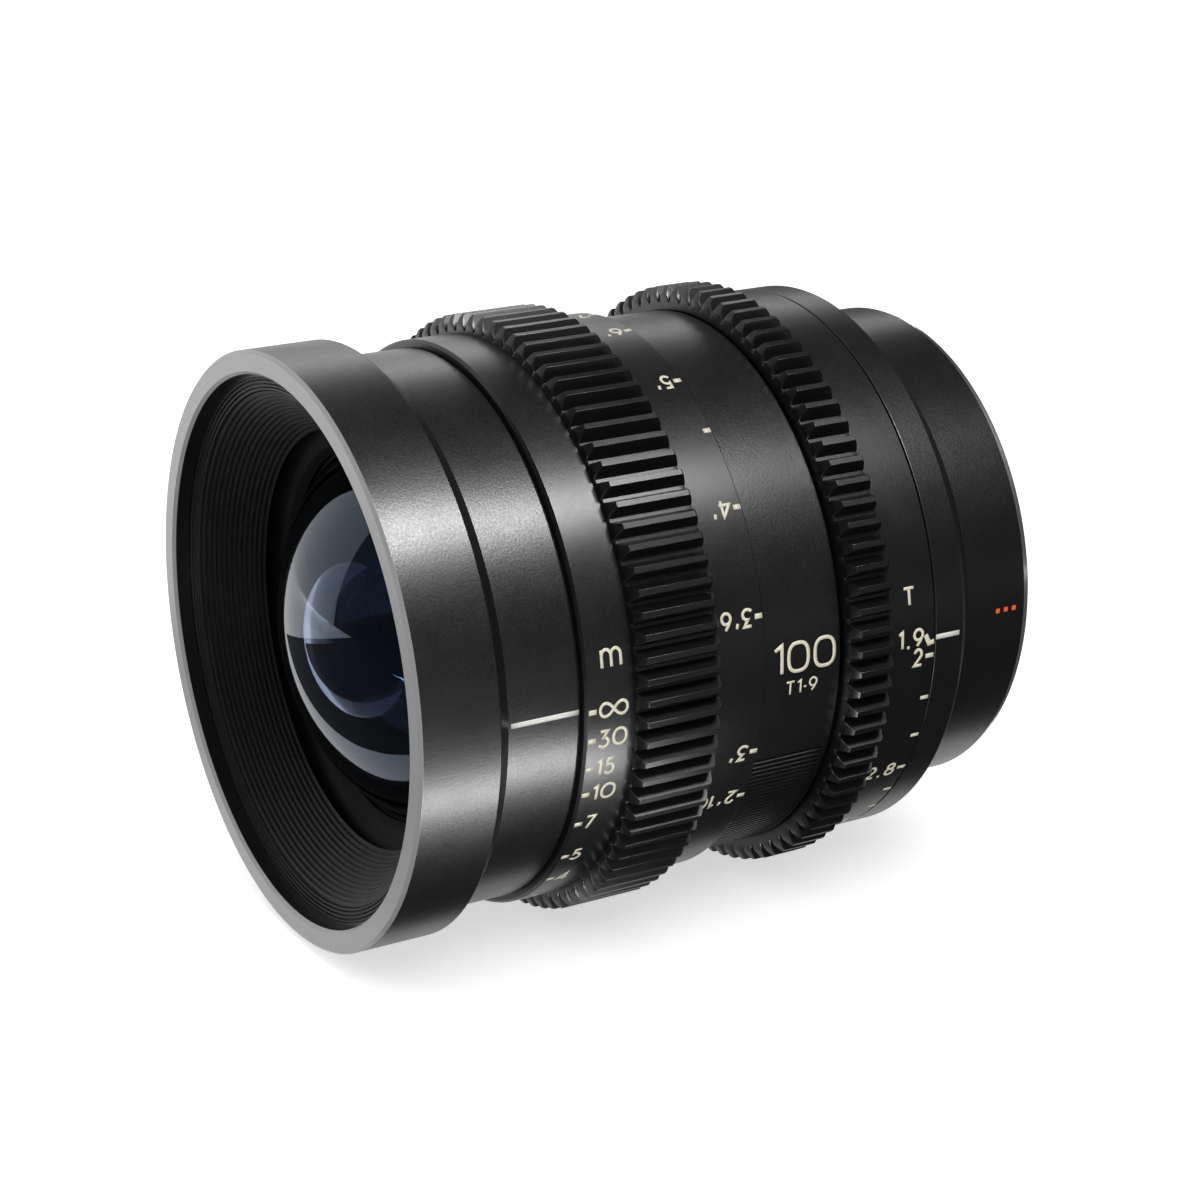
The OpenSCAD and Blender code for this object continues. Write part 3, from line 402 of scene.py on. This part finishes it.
class Scale:
    """Collects the marks of one scale, each sign modelled once and copied."""

    def __init__(self, radius, weight=None):
        self.radius, self.weight = radius, weight or sizes().stroke
        self.flats, self.marks = {}, []

    def flat(self, key, make):
        if key not in self.flats:
            self.flats[key] = make()
        return self.flats[key]

    def width(self, text, cap):
        return sum(GLYPHS[c][0] * cap + CLOSE_UP * cap for c in text) - CLOSE_UP * cap

    def text(self, signs, cap, station, degrees, turned=False, end=False):
        """Writes signs along the axis from a station, or up to it, centred on an angle."""
        way = -1 if turned else 1
        at = station - way * self.width(signs, cap) / MM if end else station
        for sign in signs:
            flat = self.flat((sign, cap), lambda: glyph(sign, cap, self.weight))
            self.marks.append(wrap(flat, self.radius, at, degrees, turned, -cap * height(sign) / 2 / MM))
            at += way * (GLYPHS[sign][0] + CLOSE_UP) * cap / MM

    def line(self, start, end, width, degrees):
        length = end - start
        flat = self.flat(("line", length, width), lambda: dash(length * MM, width * MM))
        self.marks.append(wrap(flat, self.radius, start, degrees))

    def path(self, places, width):
        """A bent mark through (station, degrees) places."""
        points = [Vector((s, math.radians(a) * self.radius)) * MM for s, a in places]
        flat = close(sweep("bent", ribbon(finer(points, 0.4 * MM), width * MM)))
        self.marks.append(wrap(flat, self.radius, 0, 0))
        self.flats[("bent", len(self.marks))] = flat

    def finish(self, name):
        """Joins the marks, gives them the paint's thickness and drops the flat patterns."""
        for flat in self.flats.values():
            bpy.data.objects.remove(flat)
        scale = join(name, self.marks)
        bpy.ops.object.mode_set(mode="EDIT")
        mesh = bmesh.from_edit_mesh(scale.data)
        for face in mesh.faces:
            outward = Vector((face.calc_center_median().x, 0, face.calc_center_median().z))
            if face.normal.dot(outward) < 0:
                face.normal_flip()
        bmesh.update_edit_mesh(scale.data)
        bpy.ops.object.mode_set(mode="OBJECT")
        modify(scale, "SOLIDIFY", thickness=4 * sizes().paint_height, offset=-0.5, use_even_offset=False)
        return scale


# Finishes
SATIN = 0.34
BLAST_GRAIN, FINE_GRAIN = 0.013 * MM, 0.007 * MM
LIP_DEPTH = 0.4


class Value:
    """A node's output that joins in arithmetic: each sign adds a Math node."""

    def __init__(self, finish, socket):
        self.finish, self.socket = finish, socket

    def sum(self, operation, a, b):
        return self.finish.node("ShaderNodeMath", {"operation": operation}, {0: a, 1: b})

    def __add__(self, other):
        return self.sum("ADD", self, other)

    __radd__ = __add__

    def __sub__(self, other):
        return self.sum("SUBTRACT", self, other)

    def __rsub__(self, other):
        return self.sum("SUBTRACT", other, self)

    def __mul__(self, other):
        return self.sum("MULTIPLY", self, other)

    __rmul__ = __mul__

    def __pow__(self, other):
        return self.sum("POWER", self, other)


class Finish:
    """A material or world and its nodes."""

    def __init__(self, block):
        self.block = block
        block.use_nodes = True
        self.tree = block.node_tree
        self.shader = self.tree.nodes.get("Principled BSDF")

    def put(self, socket, value):
        if isinstance(value, Value):
            self.tree.links.new(value.socket, socket)
        else:
            socket.default_value = value

    def node(self, kind, settings=None, inputs=None, output=0):
        """Adds a node, sets it up, feeds its sockets and returns one of its outputs."""
        made = self.tree.nodes.new(kind)
        for key, value in (settings or {}).items():
            setattr(made, key, value)
        for key, value in (inputs or {}).items():
            self.put(made.inputs[key], value)
        return Value(self, made.outputs[output])

    def surface(self, **values):
        for key, value in values.items():
            self.put(self.shader.inputs[key.replace("_", " ")], value)

    def place(self):
        return self.node("ShaderNodeTexCoord", output="Object")

    def axes(self):
        """The three coordinates of a point on the piece."""
        split = self.node("ShaderNodeSeparateXYZ", inputs={0: self.place()})
        return [Value(self, s) for s in split.socket.node.outputs]

    def noise(self, scale, detail):
        return self.node("ShaderNodeTexNoise", inputs={"Vector": self.place(), "Scale": scale, "Detail": detail})

    def blend(self, factor, a, b):
        """Mixes two colours."""
        mix = self.node("ShaderNodeMix", {"data_type": "RGBA"})
        node = mix.socket.node
        self.put(node.inputs[0], factor)
        for socket, value in ((node.inputs[6], a), (node.inputs[7], b)):
            self.put(socket, value if isinstance(value, Value) else (*value, 1))
        return Value(self, node.outputs[2])

    def bump(self, height, distance):
        return self.node("ShaderNodeBump", inputs={"Height": height, "Distance": distance, "Strength": 1.0})

    def looked_at(self):
        """One on rays from the eye, from reflections and through glass, nought on the light that falls on things."""
        rays = self.node("ShaderNodeLightPath").socket.node.outputs
        return sum(Value(self, rays["Is %s Ray" % kind]) for kind in ("Camera", "Glossy", "Transmission"))


def new_finish(name):
    return Finish(bpy.data.materials.new(name))


def tone(shade, factor):
    return tuple(min(1, c * factor) for c in shade)


def blasted_black(name, shade, rough, grain):
    """Satin black metal with the fine grain of bead blasting."""
    paint = new_finish(name)
    fine, cloud = paint.noise(2900, 3), paint.noise(260, 4)
    paint.surface(Base_Color=paint.blend(cloud, tone(shade, 0.75), tone(shade, 1.3)),
                  Roughness=rough + (fine - 0.5) * 0.14 + (cloud - 0.5) * 0.06,
                  Specular_IOR_Level=0.36, Normal=paint.bump(fine, grain))
    return paint.block


def lamp_black(name, shade, rough, gloss):
    """Matte black of the light trap and the inner cells."""
    paint = new_finish(name)
    fine, cloud = paint.noise(2600, 3), paint.noise(120, 3)
    paint.surface(Base_Color=paint.blend(cloud, tone(shade, 0.7), tone(shade, 1.35)),
                  Roughness=rough + (fine - 0.5) * 0.2, Specular_IOR_Level=gloss,
                  Normal=paint.bump(fine, 0.012 * MM))
    return paint.block


def turned_metal(name, shade, rough, lines):
    """Bare metal with the fine rings that a lathe leaves."""
    metal = new_finish(name)
    x, y, z = metal.axes()
    rings = (((x * x + z * z) ** 0.5 + y) * lines)
    streak = metal.node("ShaderNodeTexNoise", {"noise_dimensions": "1D"}, {"W": rings, "Scale": 1.0, "Detail": 3.0})
    cloud = metal.noise(140, 3)
    metal.surface(Base_Color=metal.blend(streak, tone(shade, 0.86), tone(shade, 1.1)), Metallic=1.0,
                  Roughness=rough + (streak - 0.5) * 0.16 + (cloud - 0.5) * 0.08,
                  Normal=metal.bump(streak, 0.004 * MM))
    return metal.block


def scale_paint(name, shade):
    """Filled paint of the marks, a little uneven."""
    paint = new_finish(name)
    grain = paint.noise(2400, 3)
    paint.surface(Base_Color=paint.blend(grain, tone(shade, 0.9), tone(shade, 1.04)),
                  Roughness=0.5 + (grain - 0.5) * 0.2, Normal=paint.bump(grain, 0.006 * MM))
    return paint.block


def lens_glass(name, shade, tint, gloss):
    """Clear glass whose coating colours its reflections."""
    glass = new_finish(name)
    dust = glass.noise(900, 2)
    glass.surface(Base_Color=(*shade, 1), Roughness=0.012 + dust * 0.012, IOR=1.6,
                  Transmission_Weight=1.0, Specular_IOR_Level=gloss, Specular_Tint=(*tint, 1))
    return glass.block


def black_with_painted_lit_lip(name, shade, painted_lit_lip):
    """The barrel's satin black, with a lighter grey on the very front face as painted light, for the light that face
    reflects.
    """
    block = blasted_black(name, shade, SATIN, BLAST_GRAIN)
    paint = Finish(block)
    station = paint.axes()[1]
    # Mask of the very front face, where the painted light goes.
    face = paint.node("ShaderNodeMath", {"operation": "LESS_THAN"}, {0: station, 1: (LIP_DEPTH - LENS_LENGTH) * MM})
    base = paint.shader.inputs["Base Color"]
    paint.put(base, paint.blend(face, Value(paint, base.links[0].from_socket), painted_lit_lip))
    return block


def finish(name):
    """A finish by name, made on first use."""
    if name in bpy.data.materials:
        return bpy.data.materials[name]
    c = colours()
    makers = {
        "barrel_black": lambda: blasted_black(name, c.barrel, SATIN, BLAST_GRAIN),
        # The front ring's black carries painted light, a lighter grey, on its front face.
        "front_ring_black": lambda: black_with_painted_lit_lip(name, c.barrel, c.painted_lit_lip),
        "gear_black": lambda: blasted_black(name, tone(c.barrel, 0.9), SATIN, FINE_GRAIN),
        "baffle_black": lambda: lamp_black(name, c.baffle, 0.5, 0.35),
        "cell_black": lambda: lamp_black(name, tone(c.baffle, 0.6), 0.62, 0.2),
        "mount_chrome_metal": lambda: turned_metal(name, c.chrome, 0.2, 9000),
        "cam_brass_metal": lambda: turned_metal(name, c.brass, 0.3, 5000),
        "pin_steel_metal": lambda: turned_metal(name, c.steel, 0.28, 6000),
        "blade_steel": lambda: turned_metal(name, tone(c.steel, 0.22), 0.42, 2500),
        "ivory_paint": lambda: scale_paint(name, c.ivory),
        "white_paint": lambda: scale_paint(name, c.white),
        "orange_enamel": lambda: scale_paint(name, c.orange),
        "front_glass_coated": lambda: lens_glass(name, c.glass, (0.5, 0.7, 1.0), 0.3),
        "inner_glass_coated": lambda: lens_glass(name, c.inner_glass, (0.3, 0.5, 1.0), 0.2),
    }
    return makers[name]()


class LENS_OT_front_ring(bpy.types.Operator):
    """Turns the wide front ring and its ribbed light trap"""

    bl_idname = "lens.front_ring"
    bl_label = "Front ring and baffle"

    def execute(self, context):
        edge = sizes().rim_round / MM
        ring = turn("front_ring_turned", [
            (33.15, 0.36, edge / 2), (33.5, 0, edge / 2), (35.64, 0, edge / 2), (36, 0.36, edge / 2),
            (36, 9.95, 2 * edge), (34.05, 11.88, edge), (33.32, 11.88), (33.32, 6), (31.65, 6), (31.65, 4),
            (32.65, 4), (32.65, 2), (33.15, 2)])
        hand_over(ring, "barrel", finish("front_ring_black"), ["front_ring"])

        ridges, ribs = 4, 13
        corners = []
        for i in range(ridges):
            r, s = 32.6 - i * 0.45, 2 + i * 0.15
            corners += [(r, s, 0.05), (r - 0.25, s, 0.06), (r - 0.32, s + 0.43, 0.05)]
        for i in range(ribs):
            r, s = 30.8 - i * 0.4154, 2.6 + i * 0.5123
            corners += [(r, s, 0.07), (r + 0.19, s + 0.2, 0.06), (r - 0.27, s + 0.36, 0.06)]
        corners += [(25.4, 9.26), (26.6, 9.26), (31.2, 4), (32.6, 4)]
        baffle = turn("front_baffle_turned", corners)
        hand_over(baffle, "barrel", finish("baffle_black"), ["front_baffle"])
        return {"FINISHED"}


class LENS_OT_barrels(bpy.types.Operator):
    """Turns the plain fixed barrels: witness barrel, index ring and mount barrel"""

    bl_idname = "lens.barrels"
    bl_label = "Fixed barrels"

    def execute(self, context):
        edge = sizes().rim_round / MM
        barrels = {
            "witness_barrel": [(31, 6.05), (33.27, 6.05), (33.27, 11.88), (33.57, 11.88), (33.57, 21.1, edge),
                               (31.9, 21.1), (31.9, 25), (29.05, 25), (29.05, 21.06), (31, 21.06)],
            "index_ring": [(31.95, 69.25), (34.92, 69.25, edge), (34.92, 73.3, 2 * edge), (31, 76.85, edge),
                           (30.65, 76.85), (30.65, 73.75), (31.95, 73.75)],
            "mount_barrel": [(27.6, 69.25), (30.05, 69.25), (30.05, 73.75), (30.6, 73.75), (30.6, 85.85, edge),
                             (23.8, 85.85), (23.8, 83.4), (27.6, 83.4)],
        }
        for node, corners in barrels.items():
            hand_over(turn(node + "_turned", corners), "barrel", finish("barrel_black"), [node])
        return {"FINISHED"}


class LENS_OT_centre_barrel(bpy.types.Operator):
    """Turns the centre barrel and cuts the fine grip ribs underneath"""

    bl_idname = "lens.centre_barrel"
    bl_label = "Centre barrel"

    def execute(self, context):
        edge = sizes().rim_round / MM
        pitch, grooves, start, depth = 1.25, 112, -20, 0.28
        front, back = 45.85, 55.4
        outline = rounded([(29.05, 41.55), (31.9, 41.55), (31.9, 45.45), (33.85, 45.45, edge), (33.85, front),
                           (33.85, back), (33.85, 56.3, 2 * edge), (31.95, 56.3), (31.95, 47.65), (27.2, 47.65),
                           (27.2, 46.45), (29.05, 46.45)])
        steps = [(0, 0), (0.14, 0), (0.34, 1), (0.66, 1), (0.86, 0), (1, 0)]
        rows = []
        for r, s in outline + outline[:1]:
            plain = [rim(r, start - f * pitch, s) for f, _ in steps]
            cut = [rim(r - depth * low, start - f * pitch, s) for f, low in steps]
            at_front, at_back = abs(s - front) < 1e-3, abs(s - back) < 1e-3
            rows += [plain, cut] if at_front else [cut, plain] if at_back else [plain]
        ribs = sweep("grip", rows)
        bpy.ops.mesh.select_all(action="SELECT")
        bpy.ops.mesh.spin(steps=grooves - 1, dupli=True, angle=-math.radians(pitch * (grooves - 1)),
                          center=(0, 0, 0), axis=(0, 1, 0))
        close(ribs)
        plain = draw("plain", [rim(r, start, s) for r, s in outline + outline[:1]])
        bpy.ops.mesh.spin(steps=176, angle=math.radians(360 - pitch * grooves), center=(0, 0, 0), axis=(0, 1, 0))
        close(plain)
        barrel = join("centre_barrel_turned", [ribs, plain])
        bpy.ops.object.mode_set(mode="EDIT")
        close(barrel, 36)
        hand_over(barrel, "barrel", finish("barrel_black"), ["centre_barrel"])
        return {"FINISHED"}


class LENS_OT_focus_ring(bpy.types.Operator):
    """Turns the focus ring and cuts its gear"""

    bl_idname = "lens.focus_ring"
    bl_label = "Focus ring"

    def execute(self, context):
        edge = sizes().rim_round / MM
        body = turn("focus_body", [
            (32.2, 21.4), (34.2, 21.4, edge / 2), (34.52, 21.72, edge / 2), (34.52, 28.2), (33.9, 28.4), (33.9, 38),
            (34.82, 38.2), (34.82, 45.15, edge), (32.2, 45.15)])
        gear = toothed_band("focus_gear", 27.65, 38.75, 0.86)
        ring = join("focus_ring_turned", [body, gear])
        hand_over(ring, "focus_ring", finish("gear_black"), ["focus_ring"])
        return {"FINISHED"}


class LENS_OT_iris_ring(bpy.types.Operator):
    """Turns the iris ring and cuts its gear"""

    bl_idname = "lens.iris_ring"
    bl_label = "Iris ring"

    def execute(self, context):
        edge = sizes().rim_round / MM
        body = turn("iris_body", [
            (32.2, 56.6), (33.9, 56.6), (33.9, 62), (34.92, 62.2), (34.92, 69.1, edge), (32.2, 69.1)])
        gear = toothed_band("iris_gear", 56.6, 62.7, 1.63)
        ring = join("iris_ring_turned", [body, gear])
        hand_over(ring, "iris_ring", finish("gear_black"), ["iris_ring"])
        return {"FINISHED"}


class LENS_OT_scales(bpy.types.Operator):
    """Paints the distance scales, the stop scale, the index lines and the focal length"""

    bl_idname = "lens.scales"
    bl_label = "Scales"

    def execute(self, context):
        s = sizes()
        spread, foot, feet_line = 180, 0.3048, 181
        ivory, white = finish("ivory_paint"), finish("white_paint")

        metres = Scale(34.52)
        seen = {"inf": 0.1, "30": -5.8, "15": -11.9, "10": -17.8, "7": -25.4, "5": -35.6, "4": -44.8}
        for far in ("3", "2.5", "2", "1.7", "1.5", "1.3", "1.2", "1.1", "1", "0.9"):
            seen[far] = -spread / float(far)
        for far, degrees in seen.items():
            metres.line(21.8, 22.8, 0.6, degrees)
            metres.text(["inf"] if far == "inf" else far, s.metre_cap, 23.1, degrees)
        metres.text("m", 2.4 * MM, 23.55, 10)
        hand_over(metres.finish("metre_scale"), "focus_ring", ivory)

        feet = Scale(34.82)
        marks = {"6'": 6, "5'": 5, "": 4.5, "4'": 4, "3'6": 3.5, "3'": 3, "2'10": 34 / 12}
        for far in (7, 8, 10, 12, 15, 20, 30, 50, 100):
            marks["%d'" % far] = far
        marks["inf"] = 1e6
        for far, distance in marks.items():
            degrees = feet_line - spread / (distance * foot)
            feet.line(44.0, 45.0, 0.6, degrees)
            if far:
                feet.text(["inf"] if far == "inf" else far, s.metre_cap, 43.75, degrees, turned=True)
        hand_over(feet.finish("feet_scale"), "focus_ring", ivory)

        stops = Scale(34.92)
        stops.path([(67.75, 1.75), (68.25, -0.1), (69.0, 0.1)], 0.6)
        stops.text("1.9", s.stop_cap, 67.5, 1.5, end=True)
        stops.text("T", s.stop_cap, 64.6, 10.1)
        places = {"2": -2.7, "2.8": -30.6, "4": -54, "5.6": -74, "8": -91, "11": -106, "16": -118}
        for number, degrees in places.items():
            stops.line(67.85, 69.0, 0.55, degrees)
            stops.text(number, s.stop_cap, 67.5, degrees, end=True)
        between = list(places.values())
        for a, b in zip(between, between[1:]):
            for third in (1 / 3, 2 / 3):
                stops.line(67.85, 69.0, 0.5, a + (b - a) * third)
        hand_over(stops.finish("stop_scale"), "iris_ring", ivory)

        focal = Scale(33.85, 0.112)
        focal.text("1OO", s.focal_cap, 46.84, 2.1)
        hand_over(focal.finish("focal_length"), "barrel", ivory)
        speed = Scale(33.85, 0.13)
        speed.text("T1:9", 1.83 * MM, 48.64, -4.3)
        hand_over(speed.finish("full_aperture"), "barrel", ivory)

        lines = {"focus_index": (33.57, 12.45, 21.05, 0.1), "stop_index": (34.92, 69.3, 72.7, 0.83),
                 "feet_index": (33.85, 45.6, 48.2, feet_line)}
        for name, (radius, start, end, degrees) in lines.items():
            line = Scale(radius)
            line.line(start, end, 0.6, degrees)
            hand_over(line.finish(name), "barrel", white)
        return {"FINISHED"}


class LENS_OT_glass(bpy.types.Operator):
    """Turns the domed front glass and the black ring round it"""

    bl_idname = "lens.glass"
    bl_label = "Front glass"

    def execute(self, context):
        apex, curve, hollow, thick = 2.2, 29.2, 15.0, 4.0
        dome_half, hollow_half, edge_r, steps = 22.3, 12.57, 27.2, 160
        dome = arc(apex + curve, curve, dome_half, 26)
        bubble = arc(apex + thick + hollow, hollow, hollow_half, 20)
        corners = dome + [(edge_r, 12.56), (edge_r, 13.01)] + bubble[::-1]
        glass = turn("front_glass_turned", corners, steps)
        hand_over(glass, "barrel", finish("front_glass_coated"), ["front_element"])
        glass.data.materials.append(finish("cell_black"))
        for face in glass.data.polygons:
            ground = math.hypot(face.center.x, face.center.z) > 12.5 * MM
            face.material_index = int(ground and face.center.y > (12.4 - LENS_LENGTH) * MM)
        ring = turn("front_retainer_turned", [
            (22.75, 12.5), (22.6, 12.1, 0.1), (23.4, 11.2, 0.15), (24.6, 10.9, 0.1), (28.15, 9.6),
            (28.15, 12.5)], steps)
        hand_over(ring, "barrel", finish("cell_black"), ["front_retainer"])
        return {"FINISHED"}


class LENS_OT_mount(bpy.types.Operator):
    """Turns the bright camera mount with its lugs and cuts its screws"""

    bl_idname = "lens.mount"
    bl_label = "Camera mount"

    def spindle(self, circle, degrees, top, top_r, foot, foot_r):
        """A round tapered plug along the axis, from a foot station to a top station, off the axis."""
        bpy.ops.object.select_all(action="DESELECT")
        bpy.ops.mesh.primitive_cone_add(vertices=40, radius1=top_r * MM, radius2=foot_r * MM,
                                        depth=(top - foot) * MM, rotation=(math.pi / 2, 0, 0),
                                        location=rim(circle, degrees, (top + foot) / 2))
        bpy.ops.object.transform_apply(location=True, rotation=True, scale=True)
        return bpy.context.object

    def slot_bar(self, circle, degrees, top, turned):
        """A flat bar that cuts one slot of a screw head."""
        bpy.ops.object.select_all(action="DESELECT")
        bpy.ops.mesh.primitive_cube_add(size=MM, location=rim(circle, degrees, top),
                                        rotation=(0, math.radians(turned + 30), 0))
        bar = bpy.context.object
        bar.scale = (1.9, 1.0, 0.34)
        bpy.ops.object.transform_apply(location=True, rotation=True, scale=True)
        return bar

    def cut(self, piece, cutters):
        """Cuts the cutters out of a piece and drops them."""
        for cutter in cutters:
            modify(piece, "BOOLEAN", object=cutter, operation="DIFFERENCE", solver="EXACT")
            bpy.data.objects.remove(cutter)

    def execute(self, context):
        edge = sizes().rim_round / MM
        flange = turn("flange", [
            (20.6, 85.87), (30.2, 85.87), (30.2, 86.8, 0.2), (21.6, 86.8, 0.1), (21.6, 91.8, 0.3), (20.6, 91.8, edge)])
        lugs, lug_start, lug_angle = [], 36, 58
        outline = rounded([(21.2, 89.7), (22.9, 89.7, 0.1), (22.9, 91.7, 0.3), (21.2, 91.7)])
        for i in range(3):
            lug = draw("lug", [rim(r, lug_start + 120 * i, s) for r, s in outline + outline[:1]])
            bpy.ops.mesh.remove_doubles(threshold=DOUBLES)
            bpy.ops.mesh.edge_face_add()
            bpy.ops.mesh.spin(steps=40, angle=math.radians(lug_angle), center=(0, 0, 0), axis=(0, 1, 0))
            lugs.append(close(lug))
        circle, head, shank, lock = 26.3, 1.6, 0.85, 1.4
        places = [45, 135, 225, 315]
        cutters = [self.spindle(circle, a, 86.9, head + 0.12, 85.9, head - 0.75) for a in places]
        cutters += [self.spindle(circle, a, 86.5, shank + 0.05, 85, shank + 0.05) for a in places]
        cutters.append(self.spindle(circle, 200, 87.8, lock, 86.1, lock))
        self.cut(flange, cutters)
        mount = join("bayonet_mount_turned", [flange] + lugs)
        hand_over(mount, "barrel", finish("mount_chrome_metal"), ["bayonet_mount"])

        screw = self.spindle(circle, places[0], 86.74, head, 85.95, head - 0.75)
        modify(screw, "BEVEL", width=0.05 * MM, segments=2, limit_method="ANGLE", angle_limit=math.radians(30))
        self.cut(screw, [self.slot_bar(circle, places[0], 86.75, turned) for turned in (0, 90)])
        bpy.ops.object.shade_smooth_by_angle(angle=math.radians(40))
        screws = [screw]
        for angle in (90, 180, 270):
            copy = twin(screw)
            copy.data.transform(Matrix.Rotation(math.radians(angle), 4, "Y"))
            screws.append(copy)
        hand_over(join("mount_screws_turned", screws), "barrel", finish("pin_steel_metal"),
                  ["mount_screws"])
        return {"FINISHED"}


class LENS_OT_inner_pieces(bpy.types.Operator):
    """Gives every CAD piece that stays its own finish"""

    bl_idname = "lens.inner_pieces"
    bl_label = "Inner pieces"

    def execute(self, context):
        by_slot = {"black_anodised": "barrel_black", "matte_black": "cell_black", "coated_glass": "inner_glass_coated",
                   "cam_brass": "cam_brass_metal", "pin_steel": "pin_steel_metal",
                   "mount_chrome": "mount_chrome_metal", "orange_mark": "orange_enamel"}
        for row in frame["record"]["subparts"]:
            piece = CAD_NODES[row["node"]]
            name = by_slot[row["material_slot"]]
            if row["node"].startswith("iris_blade"):
                name = "blade_steel"
            for slot in piece.material_slots:
                slot.material = finish(name)
        return {"FINISHED"}


class LENS_OT_stage(bpy.types.Operator):
    """Lays a pale floor and sets soft lamps and the camera"""

    bl_idname = "lens.stage"
    bl_label = "Studio"

    def lamp(self, name, place, width, height, glow, target=(0, -45, 0), diffuse=True, glossy=True):
        """A soft panel at a place in millimetres that looks at the lens."""
        light = bpy.data.lights.new(name, "AREA")
        light.shape, light.size, light.size_y = "RECTANGLE", width * MM, height * MM
        light.energy = glow * math.pi * width * height * MM * MM
        lamp = bpy.data.objects.new(name, light)
        bpy.context.collection.objects.link(lamp)
        away = Vector(place) - Vector(target)
        along = Vector((0, 1, 0)) - away.normalized() * away.normalized().y
        side = along.cross(away).normalized()
        turn = Matrix((side, along.normalized(), away.normalized())).transposed().to_4x4()
        lamp.matrix_world = Matrix.Translation(Vector(place) * MM) @ turn
        lamp.visible_camera = False
        lamp.visible_diffuse = diffuse
        lamp.visible_glossy = lamp.visible_transmission = glossy

    def ground(self):
        """The pale floor, white to the eye and to reflections, with the shadow of the lens."""
        bpy.ops.object.select_all(action="DESELECT")
        bpy.ops.mesh.primitive_plane_add(size=8, location=(0, 0, CAD_BOX[0][2]))
        floor = bpy.context.object
        floor.name = "floor"
        pale = new_finish("pale_floor")
        grain = pale.noise(30, 2)
        pale.surface(Base_Color=pale.blend(grain, colours().floor, tone(colours().floor, 1.01)), Roughness=0.9,
                     Specular_IOR_Level=0.1, Emission_Color=(1, 1, 1, 1), Emission_Strength=pale.looked_at() * 0.6)
        floor.data.materials.append(pale.block)

    def dark_cards(self):
        """Dark cards behind and beside the lens, met only by reflections, that keep the black barrels black."""
        dark = new_finish("dark_cloth")
        grain = dark.noise(40, 2)
        dark.surface(Base_Color=dark.blend(grain, (0.1, 0.1, 0.1), (0.12, 0.12, 0.12)), Roughness=0.95,
                     Specular_IOR_Level=0.0)
        low = CAD_BOX[0][2] + 0.5 * MM
        cards = {"card_behind": ((0.35, 0.3, 0.66), (1.9, 1.4), math.pi / 2),
                 "card_beside": ((0.033, -0.107, low), (0.026, 0.187), 0),
                 "card_below": ((0.163, 0.18, low), (0.282, 0.44), 0),
                 "card_ahead": ((0.4, -0.4, 0.43), (1.2, 0.94), math.pi / 2),
                 "card_ahead_low": ((0.22, -0.25, low), (0.66, 0.3), 0)}
        for name, (place, size, tilt) in cards.items():
            bpy.ops.object.select_all(action="DESELECT")
            bpy.ops.mesh.primitive_plane_add(size=1, location=place, rotation=(tilt, 0, 0))
            card = bpy.context.object
            card.name = name
            card.scale = (*size, 1)
            bpy.ops.object.transform_apply(location=True, rotation=True, scale=True)
            card.data.materials.append(dark.block)
            card.visible_camera = card.visible_diffuse = card.visible_shadow = False
            card.visible_transmission = "ahead" in name

    def execute(self, context):
        self.ground()
        self.dark_cards()
        world = Finish(bpy.data.worlds.new("studio"))
        context.scene.world = world.block
        sky = world.tree.nodes["Background"]
        world.put(sky.inputs["Color"], (1, 1, 1, 1))
        world.put(sky.inputs["Strength"], world.looked_at() * 0.5 + 0.5)

        self.lamp("key_panel", (169, 7, 249), 63, 128, 70, (0, -70, 0), diffuse=False)
        self.lamp("top_panel", (-381, 154, 260), 88, 307, 3.2)
        self.lamp("low_strip", (67, -98, -35.5), 10, 112, 26, (30, -108, -10), diffuse=False)
        self.lamp("front_panel", (-260, -330, 60), 200, 160, 5, glossy=False)
        self.lamp("fill_panel", (330, -150, 420), 300, 300, 4, glossy=False)

        unit, away = 36 * MM, Vector((8.2396, -3.5806, 3.353))
        camera = bpy.data.objects.new("camera", bpy.data.cameras.new("camera"))
        camera.data.lens, camera.data.sensor_width = 87.49, 36
        bpy.context.collection.objects.link(camera)
        right, up = Vector((0.50201, 0.86486, 0)), Vector((-0.289, 0.16775, 0.94252))
        view = Matrix((right, up, right.cross(up))).transposed().to_4x4()
        camera.matrix_world = Matrix.Translation(rim(0, 0, 0) + away * unit) @ view
        context.scene.camera = camera
        context.scene.view_settings.view_transform = "Standard"
        return {"FINISHED"}


class LENS_PT_panel(bpy.types.Panel):
    """Lists the steps that dress the lens"""

    bl_idname = "LENS_PT_panel"
    bl_label = "Cinema lens"
    bl_space_type = "VIEW_3D"
    bl_region_type = "UI"
    bl_category = "Lens"

    def draw(self, context):
        for group in (context.scene.lens_sizes, context.scene.lens_colours):
            box = self.layout.box()
            for key in group.bl_rna.properties.keys():
                if key not in ("rna_type", "name"):
                    box.prop(group, key)
        for step in STEPS:
            self.layout.operator(step.bl_idname)


STEPS = (LENS_OT_stage, LENS_OT_front_ring, LENS_OT_barrels, LENS_OT_centre_barrel, LENS_OT_focus_ring,
         LENS_OT_iris_ring, LENS_OT_scales, LENS_OT_glass, LENS_OT_mount, LENS_OT_inner_pieces)
CLASSES = (LensSizes, LensColours, *STEPS, LENS_PT_panel)


def register():
    for cls in CLASSES:
        bpy.utils.register_class(cls)
    bpy.types.Scene.lens_sizes = PointerProperty(type=LensSizes)
    bpy.types.Scene.lens_colours = PointerProperty(type=LensColours)


def unregister():
    del bpy.types.Scene.lens_sizes, bpy.types.Scene.lens_colours
    for cls in reversed(CLASSES):
        bpy.utils.unregister_class(cls)


def main():
    register()
    for step in STEPS:
        group, name = step.bl_idname.split(".")
        getattr(getattr(bpy.ops, group), name)()


if __name__ == "__main__":
    main()
